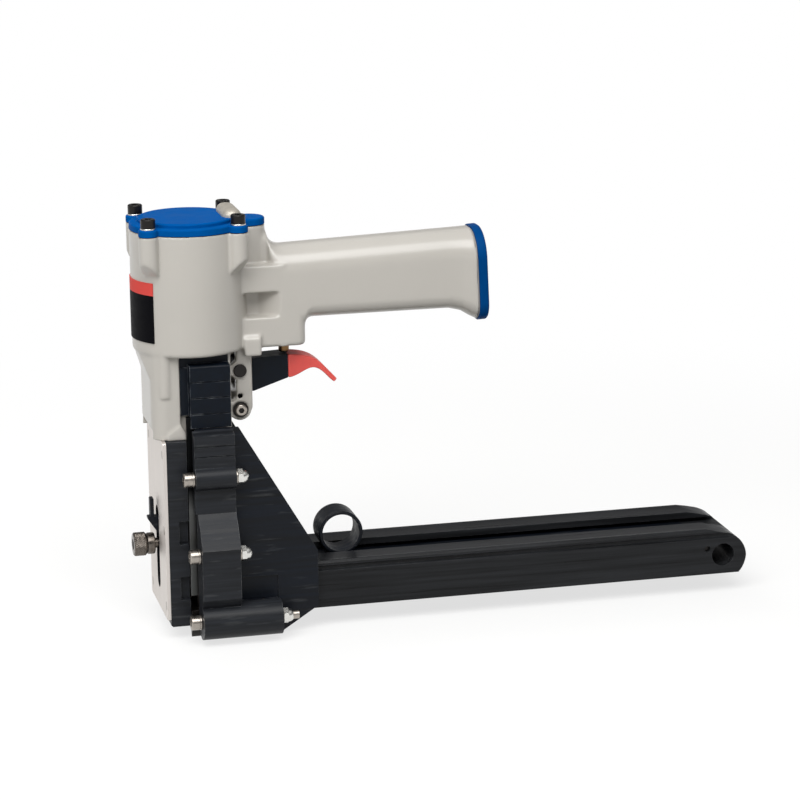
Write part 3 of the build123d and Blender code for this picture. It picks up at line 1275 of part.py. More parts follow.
def claw_arc(r, start, stop):
    """Arc about the claw pivot between two angles."""
    return ThreePointArc(claw_point(r, start), claw_point(r, (start + stop) / 2), claw_point(r, stop))


def clincher_claw():
    """Curved clincher claw with its arm and hub."""
    inner_tip = CLAW_TIP_ANGLE + CLAW_TIP_TAPER
    outer = claw_arc(CLAW_OUTER_R, CLAW_TIP_ANGLE, CLAW_END_ANGLE)
    inner = claw_arc(CLAW_INNER_R, CLAW_END_ANGLE, inner_tip)
    edges = [outer, Line(outer @ 1, inner @ 0), inner, Line(inner @ 1, outer @ 0)]
    hook = Pos(CLAW_FRONT, 0, 0) * extrude(Plane.YZ * make_face(edges), CLAW_REACH)
    root = claw_arc(CLAW_INNER_R + PAST, CLAW_END_ANGLE, inner_tip + CLAW_TIP_TAPER)
    hub_top = (CLAW_PIVOT_Y, CLAW_PIVOT_Z + CLAW_HUB_R)
    hub_bottom = (CLAW_PIVOT_Y, CLAW_PIVOT_Z - CLAW_HUB_R)
    web = make_face([root, Polyline(root @ 1, hub_bottom, hub_top, root @ 0)])
    arm = Pos(CLAW_FRONT, 0, 0) * extrude(Plane.YZ * web, CLAW_ARM)
    hub_x = (CLAW_FRONT, CLAW_FRONT + CLAW_ARM)
    hub = long_bar(CLAW_PIVOT_Y, CLAW_PIVOT_Z, CLAW_HUB_R, hub_x)
    bore = long_bar(CLAW_PIVOT_Y, CLAW_PIVOT_Z, CLAW_PIN_R + SEAL_GAP, past(hub_x))
    return join_all([hook, arm, hub]) - bore


def claw_pins():
    """Pivot pins of the two claws."""
    return group(claw_pin_holes(CLAW_PIN_R, (CLAW_PIN_FRONT, GUIDE_FRONT + GUIDE)))


def clincher_bar():
    """Upright steel bar that turns the claw when the crosshead presses it down."""
    y = (BAR_OUTER - BAR_WIDTH, BAR_OUTER)
    bar = span_box((CLAW_FRONT, CLAW_FRONT + BAR), y, (BAR_BOTTOM, BAR_TOP))
    hook = span_box((CLAW_FRONT, CLAW_FRONT + BAR_HOOK_REACH), (y[0], CROSSHEAD_HALF_WIDTH - RUN),
                    (BAR_TOP - BAR_HOOK, BAR_TOP))
    return bar + hook


def crosshead_cover():
    """Black ribbed cover over the end of the crosshead, with an upstand under the drum."""
    inner = NECK_REAR_HALF_WIDTH + SEAT
    skin = COVER_HALF_WIDTH - COVER_WALL
    z = (COVER_BOTTOM, COVER_TOP)
    cover = span_box((COVER_FRONT, COVER_REAR), (inner, COVER_HALF_WIDTH), z)
    cover = fillet(cover.edges().filter_by(Axis.X).group_by(Axis.Z)[-1].sort_by(Axis.Y)[-1], COVER_EDGE)
    cover -= span_box((COVER_FRONT + COVER_FRONT_WALL, CROSSHEAD_DEPTH / 2 + 2 * RUN), (inner - PAST, skin),
                      (COVER_BOTTOM - PAST, COVER_TOP - COVER_WALL))
    lip_x = (NECK_STEP + SEAT, COVER_FRONT + COVER_FRONT_WALL / 2)
    lip_y = (inner, NECK_HALF_WIDTH - COVER_LIP_INSET)
    cover += span_box(lip_x, lip_y, (BAR_TOP + RUN, COVER_TOP - COVER_EDGE))
    cover += span_box((NECK_STEP + SEAT, COVER_REAR), (inner, inner + COVER_WALL),
                      (COVER_TOP - COVER_EDGE, DRUM_BOTTOM - SEAT))
    cover -= span_box((COVER_FRONT - PAST, 0), (BAR_OUTER - BAR_WIDTH - RUN, BAR_OUTER + RUN),
                      (COVER_BOTTOM - PAST, BAR_TOP + RUN))
    rows = int(COVER_HEIGHT / GROOVE_STEP)
    for level in [COVER_TOP - (row + 1) * GROOVE_STEP for row in range(rows)]:
        cover -= span_box(past((COVER_FRONT, COVER_REAR)),
                          (COVER_HALF_WIDTH - GROOVE, COVER_HALF_WIDTH + PAST), (level - GROOVE, level))
    return cover


def side_plate():
    """Black side plate: nose cheek, gusset and toe in one sheet."""
    points = [(SIDE_CUT_X, 0), (GUSSET_TOE_X, 0), (GUSSET_BACK, GUSSET_BACK_LOW_Z),
              (GUSSET_BACK, GUSSET_BACK_Z), (GUSSET_LOW_X, GUSSET_LOW_Z), (GUSSET_TOP_X, SIDE_TOP),
              (SIDE_FRONT, SIDE_TOP), (SIDE_FRONT, SIDE_CUT_Z), (SIDE_CUT_X, SIDE_CUT_Z)]
    plate = side_prism(points, (SIDE_INNER, SIDE_OUTER))
    recess_low = FLAT_BOTTOM - SIDE_RECESS_HEIGHT / 2
    plate -= span_box((HOUSING_REAR + SIDE_RECESS_GAP, GUSSET_TOE_X),
                      (SIDE_OUTER - SIDE_RECESS, SIDE_OUTER + PAST),
                      (recess_low, recess_low + SIDE_RECESS_HEIGHT))
    sink_y = (SIDE_OUTER - RAIL_SCREW_HEAD, SIDE_OUTER + PAST)
    for x, z in RAIL_SCREWS:
        plate -= cross_bar(x, z, RAIL_SCREW_R + FIT, past((SIDE_INNER, SIDE_OUTER)))
        plate -= cross_bar(x, z, RAIL_SCREW_HEAD_R + SINK_GAP, sink_y)
    return plate


def rail_screws():
    """Screws that hold the magazine rails between the side plates."""
    seat = SIDE_OUTER - RAIL_SCREW_HEAD
    screws = []
    for x, z in RAIL_SCREWS:
        screw = cross_bar(x, z, RAIL_SCREW_HEAD_R, (seat, SIDE_OUTER))
        screw += cross_bar(x, z, RAIL_SCREW_R, (MAGAZINE_HALF_WIDTH - RAIL_SCREW_DEPTH, seat))
        screws += [screw, other_side(screw)]
    return group(screws)


def clincher_housing():
    """Black extruded guard over the clincher on one side, with bosses for its three long screws."""
    inner = HOUSING_INNER
    tube_top = TUBE_Z + TUBE_R - TUBE_SINK
    waist_z = BULGE_TOP_Z + WAIST_RISE
    lower = [(inner, waist_z), (WAIST_Y, waist_z), (BULGE_TOP_Y - BULGE_ROUND, BULGE_TOP_Z + BULGE_ROUND),
             (BULGE_TOP_Y, BULGE_TOP_Z), (HOUSING_HALF_WIDTH, BULGE_Z), (FLAT_Y, BULGE_Z - BULGE_UNDER),
             (FLAT_Y, FLAT_BOTTOM), (TUBE_Y + TUBE_NECK, tube_top), (inner, tube_top)]
    upper = [(inner, LEDGE_Z + LEDGE_SLOPE), (LEDGE_HALF_WIDTH, LEDGE_Z), (LEDGE_HALF_WIDTH, BOLT1_Z),
             (WAIST_Y, BOLT1_Z - BOLT1_BOSS_R), (WAIST_Y, waist_z), (inner, waist_z)]
    top_x = (HOUSING_FRONT - HOUSING_STEP, HOUSING_REAR)
    boss = long_bar(BOLT1_Y, BOLT1_Z, BOLT1_BOSS_R, top_x)
    boss &= span_box(past(top_x), (inner, HOUSING_HALF_WIDTH), (FLAT_BOTTOM, LEDGE_Z))
    tube = long_bar(TUBE_Y, TUBE_Z, TUBE_R, (HOUSING_FRONT, TUBE_REAR))
    tube &= span_box(past((HOUSING_FRONT, TUBE_REAR)), (inner, HOUSING_HALF_WIDTH + PAST), (0, FLAT_BOTTOM))
    low_x = (HOUSING_FRONT, HOUSING_REAR)
    body = join_all([front_prism(lower, low_x), front_prism(upper, top_x), boss, tube])
    for row in range(2):
        z = BOLT1_Z + LINE_FIRST + row * LINE_STEP
        body -= span_box(past(top_x), (LEDGE_HALF_WIDTH - GROOVE, LEDGE_HALF_WIDTH + PAST), (z, z + GROOVE))
    return cut_all(body, [long_bar(y, z, SCREW_R + FIT, past((front, rear)))
                          for y, z, front, rear in HOUSING_BOLTS])


def housing_bolts():
    """Long socket screws along the two clincher housings."""
    bolts = []
    for (y, z, front, rear), tail in zip(HOUSING_BOLTS, BOLT_TAILS):
        length = rear - front + 2 * WASHER + NUT_HEIGHT + tail
        screw = Pos(front - WASHER, y, z) * Rot(0, -90, 0) * socket_screw(SCREW_R, length)
        bolts += [screw, other_side(screw)]
    return group(bolts)


def housing_washers():
    """Flat washers under the heads and the nuts of the long screws."""
    rings = []
    for y, z, front, rear in HOUSING_BOLTS:
        for x in ((front - WASHER, front), (rear, rear + WASHER)):
            ring = long_bar(y, z, WASHER_R, x) - long_bar(y, z, SCREW_R + FIT, past(x))
            rings += [ring, other_side(ring)]
    return group(rings)


def housing_nuts():
    """Bright domed nuts on the ends of the long screws."""
    dome = Pos(0, 0, NUT_HEIGHT) * Sphere(NUT_DOME_R)
    dome &= pillar(0, 0, NUT_ACROSS, (0, NUT_HEIGHT + NUT_DOME_R))
    blank = hexagon_z(NUT_ACROSS, (0, NUT_HEIGHT)) + dome
    nuts = []
    for (y, z, front, rear), tail in zip(HOUSING_BOLTS, BOLT_TAILS):
        nut = blank - pillar(0, 0, SCREW_R + FIT, (-PAST, NUT_HEIGHT + tail + SCREW_TIP))
        placed = Pos(rear + WASHER, y, z) * Rot(0, 90, 0) * nut
        nuts += [placed, other_side(placed)]
    return group(nuts)


# Magazine

def rail_end_cut():
    """Everything outside the rounded back end of a rail, seen from the side."""
    low = MAGAZINE_BOTTOM
    top = MAGAZINE_TOP
    rear = MAGAZINE_REAR
    slope_x = rear - END_SLOPE
    knee = (slope_x + END_SLOPE_RUN, top - END_SLOPE_DROP)
    nose = (rear, low + END_NOSE)
    heel = (rear - END_HEEL, low)
    line = Line((slope_x, top + FIT), knee)
    shoulder = ThreePointArc(knee, (rear - END_SLOPE_DROP, top - 3 * END_SLOPE_DROP), nose)
    under = ThreePointArc(nose, (rear - END_HEEL / 4, low + END_NOSE / 2), heel)
    rest = Polyline(heel, (heel[0], 0), (rear + END_SLOPE, 0), (rear + END_SLOPE, top + END_SLOPE),
                    (slope_x, top + END_SLOPE), (slope_x, top + FIT))
    face = make_face([line, shoulder, under, rest])
    return Pos(0, 2 * MAGAZINE_HALF_WIDTH, 0) * extrude(Plane.XZ * face, 4 * MAGAZINE_HALF_WIDTH)


def magazine_rail():
    """One long black rail of the magazine, with its side groove, rounded crest and inward lip."""
    outer = MAGAZINE_HALF_WIDTH
    low = MAGAZINE_BOTTOM
    top = MAGAZINE_TOP
    groove_z = top - RAIL_GROOVE_DROP
    groove_y = outer - RAIL_GROOVE_DEPTH
    groove_top = groove_z + RAIL_GROOVE
    crest_y = outer - RAIL_CREST_INSET
    crest_z = top - RAIL_CREST_ROUND
    lip_z = top - LIP_STEP
    points = [(CHANNEL_HALF_WIDTH, low), (outer, low), (outer, groove_z),
              (groove_y, groove_z + RAIL_GROOVE_DRAFT), (groove_y, groove_top - RAIL_GROOVE_DRAFT),
              (crest_y, groove_top), (crest_y, crest_z),
              (crest_y - RAIL_CREST_ROUND, top), (outer - RAIL_CREST, top),
              (outer - RAIL_CREST - RAIL_CREST_ROUND, lip_z), (MOUTH_HALF_WIDTH, lip_z),
              (MOUTH_HALF_WIDTH, LIP_UNDER), (CHANNEL_HALF_WIDTH, LIP_UNDER)]
    rail = front_prism(points, (MAGAZINE_FRONT, MAGAZINE_REAR)) - rail_end_cut()
    hollow_y = (CHANNEL_HALF_WIDTH + RAIL_WALL, groove_y - RAIL_WALL)
    through = (0, 2 * outer)
    tools = [span_box((MAGAZINE_FRONT - PAST, END_BLOCK_FRONT - RAIL_END), hollow_y,
                      (low + RAIL_WALL, LIP_UNDER - RAIL_WALL)),
             cross_bar(HANG_X, HANG_Z, HANG_R, through),
             cross_bar(ROLL_PIN_X, ROLL_PIN_Z, ROLL_PIN_R + FIT, through)]
    tools += [cross_bar(x, z, RAIL_SCREW_R + FIT, (outer - RAIL_SCREW_DEPTH - SCREW_TIP / 2, through[1]))
              for x, z in RAIL_SCREWS]
    return cut_all(rail, tools)


def magazine_end_block():
    """Block between the rails at the back, with the hanging hole through it."""
    half = CHANNEL_HALF_WIDTH - END_BLOCK_GAP
    block = middle_box((END_BLOCK_FRONT, MAGAZINE_REAR), half,
                       (MAGAZINE_BOTTOM, HANG_Z + HANG_R + END_BLOCK_OVER))
    through = past(across(half))
    return cut_all(block, [rail_end_cut(), cross_bar(HANG_X, HANG_Z, HANG_R, through),
                           cross_bar(ROLL_PIN_X, ROLL_PIN_Z, ROLL_PIN_R + FIT, through)])


def magazine_roll_pin():
    """Pin through the rails and the end block."""
    return cross_bar(ROLL_PIN_X, ROLL_PIN_Z, ROLL_PIN_R, across(MAGAZINE_HALF_WIDTH - ROLL_PIN_SINK))


def magazine_core():
    """Folded steel core that the staples ride on, slotted for the pusher's spring hanger."""
    x = (CORE_FRONT, END_BLOCK_FRONT)
    low = MAGAZINE_BOTTOM
    core = middle_box(x, CORE_HALF_WIDTH, (low, CORE_TOP))
    core -= middle_box(past(x, -CORE_WALL, -CORE_WALL), CORE_HALF_WIDTH - CORE_WALL,
                       (low + CORE_WALL, CORE_TOP - CORE_WALL))
    return core - middle_box(past(x, -CORE_SLOT_INSET, -CORE_SLOT_INSET), CORE_SLOT,
                             past((CORE_TOP - CORE_WALL, CORE_TOP)))


# Pusher

def pusher():
    """Saddle that slides on the core, with a post up through the magazine's mouth."""
    x = (PUSHER_FRONT, PUSHER_FRONT + PUSHER_LENGTH)
    outer = CHANNEL_HALF_WIDTH - RUN
    saddle_z = (CORE_TOP + RUN, PUSHER_TOP)
    plate = middle_box(x, outer, saddle_z)
    skirt = span_box(x, (CORE_HALF_WIDTH + RUN, outer), (PUSHER_TOP - PUSHER_SKIRT, PUSHER_TOP))
    post = middle_box((RING_X - POST_LENGTH / 2, RING_X + POST_LENGTH / 2), RING_WIDTH / 2,
                      (saddle_z[0], RING_Z - RING_R + RING_STRIP))
    post -= cross_bar(RING_X, RING_Z, RING_R + FIT, across(RING_WIDTH))
    hanger = middle_box((ROLL_X - HANGER / 2, ROLL_X + HANGER / 2), CORE_SLOT - RUN,
                        (ROLL_Z - HANGER_END, PUSHER_TOP))
    hanger -= cross_bar(ROLL_X, ROLL_Z, ROLL_AXLE_R + FIT, across(2 * CORE_SLOT))
    return join_all([plate, both_sides(skirt), post, hanger])


def pusher_ring():
    """Round pull ring of flat strip."""
    y = across(RING_WIDTH / 2)
    ring = cross_bar(RING_X, RING_Z, RING_R, y) - cross_bar(RING_X, RING_Z, RING_R - RING_STRIP, past(y))
    return fillet(ring.edges().filter_by(GeomType.CIRCLE), RING_EDGE)


def spring_roll():
    """Two rolls of flat spring that pull the pusher forward, on a common axle."""
    side = (CORE_SLOT + ROLL_GAP, CORE_SLOT + ROLL_GAP + ROLL_WIDTH)
    roll = cross_bar(ROLL_X, ROLL_Z, ROLL_R, side)
    axle = cross_bar(ROLL_X, ROLL_Z, ROLL_AXLE_R, across(side[1] + ROLL_AXLE_END))
    return join_all([axle, roll, other_side(roll)])


NODES = [
    main_housing, head_cap, head_gasket, head_screws, head_lock_washers, exhaust_deflector, label_plate,
    cylinder_liner, liner_seals, bumper, piston, piston_ring, driver_pin, driver_blade, crosshead,
    head_valve, head_valve_spring, handle_end_cap, handle_end_gasket, end_cap_screws,
    trigger_lever, trigger_sleeve, trigger_pivot_pin, lug_screw,
    valve_bush, valve_plug, valve_stem, valve_spring,
    front_plate, front_plate_screws, nose_block, nose_screws, front_guide, rear_guide,
    adjuster_slider, adjusting_screw, adjusting_nut, claw_pins,
    rail_screws, housing_bolts, housing_washers, housing_nuts,
    magazine_end_block, magazine_roll_pin, magazine_core, pusher, pusher_ring, spring_roll,
]

# Pieces that come in a pair, drawn for the right side, which is positive Y to someone behind the handle
PAIRS = [clincher_housing, crosshead_cover, side_plate, clincher_claw, clincher_bar, magazine_rail]


def write(name, shape):
    """Moves a piece to the frame of the part and writes it to its own file."""
    export_step(Pos(-MIDDLE_X, 0, 0) * shape, f"parts/{name}.step")


for make in NODES:
    write(make.__name__, make())
for make in PAIRS:
    piece = make()
    write(f"{make.__name__}_right", piece)
    write(f"{make.__name__}_left", other_side(piece))
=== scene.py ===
import logging
from dataclasses import dataclass, field
from enum import Enum
from math import cos, pi, radians, sin

import bmesh
import bpy
from mathutils import Matrix, Vector


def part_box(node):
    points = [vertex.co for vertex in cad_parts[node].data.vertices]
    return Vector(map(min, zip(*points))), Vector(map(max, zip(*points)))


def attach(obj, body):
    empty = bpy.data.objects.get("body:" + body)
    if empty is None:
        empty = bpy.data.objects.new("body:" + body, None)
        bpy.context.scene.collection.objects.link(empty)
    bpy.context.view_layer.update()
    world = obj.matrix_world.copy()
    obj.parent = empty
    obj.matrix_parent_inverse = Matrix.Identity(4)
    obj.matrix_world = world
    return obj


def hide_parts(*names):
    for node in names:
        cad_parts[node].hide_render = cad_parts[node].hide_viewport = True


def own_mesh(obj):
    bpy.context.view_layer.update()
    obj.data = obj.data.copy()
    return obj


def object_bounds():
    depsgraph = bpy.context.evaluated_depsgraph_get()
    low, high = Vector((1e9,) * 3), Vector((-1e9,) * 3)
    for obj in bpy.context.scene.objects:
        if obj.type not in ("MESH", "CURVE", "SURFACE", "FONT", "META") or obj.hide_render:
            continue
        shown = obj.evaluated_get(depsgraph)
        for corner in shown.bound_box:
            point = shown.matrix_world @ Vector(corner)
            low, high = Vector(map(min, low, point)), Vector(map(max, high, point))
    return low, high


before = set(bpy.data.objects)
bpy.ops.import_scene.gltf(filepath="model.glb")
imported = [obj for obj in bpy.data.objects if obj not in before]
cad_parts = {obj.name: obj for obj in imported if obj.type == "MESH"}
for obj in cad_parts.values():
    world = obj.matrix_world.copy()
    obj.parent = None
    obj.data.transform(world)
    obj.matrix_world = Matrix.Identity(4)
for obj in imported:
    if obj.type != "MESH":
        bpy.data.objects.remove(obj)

# Pneumatic carton stapler, dressed for the picture.
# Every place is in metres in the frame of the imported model.
MM = 0.001
CAD_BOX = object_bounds()
LOG = logging.getLogger("carton_stapler")
WHITE = "#FFFFFF"
# Range that holds most values of a noise texture, and the detail of a cloudy one and of a relief
NOISE_LOW = 0.3
NOISE_HIGH = 0.7
CLOUD_DETAIL = 4.0
RELIEF_DETAIL = 2.0
# Corners of a mesh that are nearer than the first are one. The second closes slivers that a bevel leaves
WELD_MM = 0.002
SLIVER_MM = 0.01
# Faces that differ by less than the first angle are one flat face, and edges over the second one are broken
FLAT_DEGREES = 0.6
SHARP_DEGREES = 32.0
EDGE_STEPS = 2


class Lay(Enum):
    """Which way the fine lines of a surface run, as the share of detail along X, Y and Z."""

    NONE = (1.0, 1.0, 1.0)
    ALONG_X = (0.03, 1.0, 1.0)
    ALONG_Z = (1.0, 1.0, 0.03)


@dataclass(frozen=True)
class Finish:
    """How one real material looks. Lengths are in millimetres, colours are sRGB hex values.

    The colour varies by the share mottle, in clouds of mottle_mm. Where a coat is worn, the metal under it
    shows at edges, over worn_mm, and in scuffs with the strength scuff. A painted shade darkens a piece
    above one height, coming on fully at another.
    """

    name: str
    colour: str
    metallic: float = 0.0
    roughness: float = 0.5
    roughness_swing: float = 0.06
    ior: float = 1.5
    specular: float = 0.5
    coat: float = 0.0
    mottle: float = 0.05
    mottle_mm: float = 14.0
    relief_mm: float = 0.02
    relief_width_mm: float = 2.4
    lay: Lay = Lay.NONE
    worn: str = ""
    worn_mm: float = 0.5
    scuff: float = 0.0
    # Painted shade on the upper end of a piece: its colour and the heights over which it comes on
    painted_shade: str = ""
    painted_shade_from_mm: float = 0.0
    painted_shade_full_mm: float = 0.0


# Sprayed satin enamel on a light alloy casting: broad soft highlights and a faint orange peel
GREY_ENAMEL = Finish("SatinGreyEnamelOnCastAlloy", "#B9B5AE", roughness=0.31, roughness_swing=0.02,
                     mottle=0.012, mottle_mm=35.0, coat=0.25)
# The same enamel in blue, over the machined caps: deep colour and a dull sheen
BLUE_ENAMEL = Finish("SatinBlueEnamel", "#004F96", roughness=0.45, specular=0.01, mottle=0.07, mottle_mm=9.0,
                     relief_mm=0.012)
# The same enamel, darkened as painted shade on the end cap of the handle, which faces away from the light
END_CAP_SHADED_ENAMEL = Finish("BlueEnamelPaintedShade", "#003F7A", roughness=0.45, specular=0.03, mottle=0.07,
                        mottle_mm=9.0, relief_mm=0.012)
# Black anodised extrusion: dark, with die lines along X, drawn about 2 mm apart so that they show
BLACK_ANODISED = Finish("BlackAnodisedExtrusion", "#1F2022", roughness=0.34, roughness_swing=0.08,
                        specular=0.15, mottle=0.5, mottle_mm=2.2, relief_mm=0.012, relief_width_mm=1.8,
                        lay=Lay.ALONG_X, worn="#505254")
# The same coat on the nose and the clincher housings, a shade greyer where the boxes rub them
GREY_BLACK_ANODISED = Finish("RubbedBlackAnodisedExtrusion", "#1F2125", roughness=0.40, roughness_swing=0.10,
                             specular=0.2, mottle=0.45, mottle_mm=2.2, relief_mm=0.012, relief_width_mm=1.8,
                             lay=Lay.ALONG_X, worn="#6A6C6D", scuff=0.2)
# Satin black paint on the covers and the lever: the deepest of the blacks, with a trace of blue
BLACK_PAINT = Finish("SatinBlackPaint", "#091019", roughness=0.40, specular=0.14, mottle=0.2, mottle_mm=4.0,
                     relief_mm=0.010, worn="#7C8084", worn_mm=0.6)
# Rolled sheet with a black oxide coat: duller, with rolling lines along X, drawn 2.6 mm apart to show
BLACK_SHEET = Finish("BlackOxideSheetSteel", "#0C1017", roughness=0.44, roughness_swing=0.12, specular=0.2,
                     mottle=0.55, mottle_mm=2.6, relief_mm=0.010, relief_width_mm=2.0, lay=Lay.ALONG_X,
                     worn="#505254", worn_mm=0.4, scuff=0.35)
# Blackened alloy steel of the socket screws and pins: brownish sheen, bright where a key has rubbed it
BLACK_STEEL = Finish("BlackenedAlloySteel", "#181513", metallic=0.5, roughness=0.36, mottle=0.2,
                     mottle_mm=3.0, relief_mm=0.006, relief_width_mm=1.2, worn="#857C73", worn_mm=0.3)
# Dark nickel plate on the knurled knob and its nut: a warm, deep grey sheen
DARK_NICKEL = Finish("DarkNickelPlate", "#6B655F", metallic=1.0, roughness=0.26, mottle=0.15, mottle_mm=2.5,
                     relief_mm=0.004, relief_width_mm=1.2)
# Zinc plate: bright and slightly cloudy
ZINC_PLATE = Finish("ZincPlate", "#DEDDD9", metallic=1.0, roughness=0.26, mottle=0.08, mottle_mm=2.0,
                    relief_mm=0.004, relief_width_mm=1.2)
# Turned steel of the bolts, their washers and the small screws: soft grey highlights
BRIGHT_STEEL = Finish("TurnedSteel", "#A8A199", metallic=1.0, roughness=0.32, mottle=0.14, mottle_mm=2.0,
                      relief_mm=0.004, relief_width_mm=1.2)
# Linished mild steel plate: pale, with upright grinding lines, drawn 1.5 mm apart so that they show
LINISHED_STEEL = Finish("LinishedSteelPlate", "#DAD4CF", metallic=0.9, roughness=0.52, mottle=0.06,
                        mottle_mm=1.5, relief_mm=0.006, relief_width_mm=1.5, lay=Lay.ALONG_Z)
# Hardened and ground steel of the guides, the driver and the springs: grey, with lines along the stroke
GROUND_STEEL = Finish("GroundToolSteel", "#7A7672", metallic=1.0, roughness=0.38, mottle=0.12, mottle_mm=1.8,
                      relief_mm=0.005, relief_width_mm=1.5, lay=Lay.ALONG_Z)
# The same steel on the clincher bars: grey, with painted shade that darkens their upper end
BAR_STEEL_PAINTED_SHADE = Finish("ToolSteelPaintedShade", "#5E5F5E", metallic=1.0, roughness=0.44, mottle=0.2, mottle_mm=2.4,
                     relief_mm=0.006, relief_width_mm=1.5, lay=Lay.ALONG_Z, painted_shade="#151617", painted_shade_from_mm=78.0,
                     painted_shade_full_mm=90.0)
# Painted shade on the wall of a drilled hole: dull and nearly black
BORE_PAINTED_SHADE = Finish("DrilledBorePaintedShade", "#0B0B0B", roughness=0.6, specular=0.1, mottle=0.1, mottle_mm=2.0)
# Turned bronze of the trigger valve: a dull golden brown
BRONZE = Finish("TurnedBronze", "#7B5F40", metallic=1.0, roughness=0.34, mottle=0.12, mottle_mm=2.5,
                relief_mm=0.005, relief_width_mm=1.2)
# Die cast alloy, left bare: dull and slightly grainy
BARE_ALLOY = Finish("DieCastAlloy", "#BDB6AA", metallic=0.5, roughness=0.5, mottle=0.08, mottle_mm=4.0,
                    relief_mm=0.02, relief_width_mm=1.6)
# Vinyl dipped over the lever: matt, waxy coral red
DIPPED_VINYL = Finish("CoralDippedVinyl", "#DC514A", roughness=0.44, ior=1.53, mottle=0.06, mottle_mm=7.0,
                      relief_mm=0.018, relief_width_mm=2.2)
# Nitrile rubber of the seals: matt black
NITRILE = Finish("NitrileRubber", "#171717", roughness=0.75, ior=1.52, mottle=0.1, mottle_mm=4.0)
# Filled rubber of the gasket that shows round the end cap, made pale as a painted highlight along that joint: a
# matt line
GASKET_PAINTED_HIGHLIGHT = Finish("GasketRubberPaintedHighlight", "#A9A49C", roughness=0.7, ior=1.52, mottle=0.06, mottle_mm=4.0)
# Natural acetal of the head valve: waxy off-white
ACETAL = Finish("NaturalAcetal", "#DAD5C6", roughness=0.5, ior=1.48, mottle=0.04)


@dataclass(frozen=True)
class Wear:
    """Where a dark coat is rubbed off. Lengths are in millimetres.

    An edge counts by the cosine between its rounded and its true normal, patches and scuffs by the value of
    a noise. Each shows from its first limit on and is bare at its second one. Scuffs run along X, about 3 mm
    apart, which is coarser than real ones, so that they show.
    """

    edge_limits: tuple[float, float] = (0.98, 0.80)
    edge_samples: int = 4
    patch_mm: float = 6.0
    patch_limits: tuple[float, float] = (0.42, 0.62)
    scuff_mm: float = 3.0
    scuff_limits: tuple[float, float] = (0.60, 0.74)
    scuff_lay: tuple[float, float, float] = (0.12, 1.0, 1.0)
    scuff_detail: float = 3.0


def linear(code: str, gain: float = 1.0) -> tuple[float, float, float, float]:
    """Turns an sRGB hex value into a linear colour, by the curve of that standard.

    Args:
        code: Colour such as "#1B1D1F".
        gain: Factor on the linear values.

    Returns:
        Red, green, blue and alpha.
    """
    shares = [int(code[place:place + 2], 16) / 255 for place in (1, 3, 5)]
    values = [share / 12.92 if share <= 0.04045 else ((share + 0.055) / 1.055) ** 2.4 for share in shares]
    return (*(min(1.0, value * gain) for value in values), 1.0)


def add_node(tree: bpy.types.NodeTree, kind: str, inputs: dict | None = None,
             stops: tuple[tuple[float, tuple], ...] = (), **settings) -> bpy.types.Node:
    """Adds a shader node with its settings, values and links.

    Args:
        tree: Node tree to add to.
        kind: Node type without its ShaderNode prefix.
        inputs: Socket name or number to a value, or to an output socket to link.
        stops: Position and linear colour of each stop of a colour ramp, in order.
        settings: Attributes of the node.

    Returns:
        The new node.
    """
    node = tree.nodes.new(f"ShaderNode{kind}")
    for name, value in settings.items():
        setattr(node, name, value)
    for name, value in (inputs or {}).items():
        if isinstance(value, bpy.types.NodeSocket):
            tree.links.new(value, node.inputs[name])
        else:
            node.inputs[name].default_value = value
    for number, (position, colour) in enumerate(stops):
        elements = node.color_ramp.elements
        element = elements[number] if number < len(elements) else elements.new(position)
        element.position = position
        element.color = colour
    return node


def new_material(name: str) -> tuple[bpy.types.Material, bpy.types.NodeTree, bpy.types.Node]:
    """Makes a node material.

    Args:
        name: Name of the material.

    Returns:
        The material, its tree and its surface shader.
    """
    material = bpy.data.materials.new(name)
    material.use_nodes = True
    tree = material.node_tree
    return material, tree, tree.nodes["Principled BSDF"]


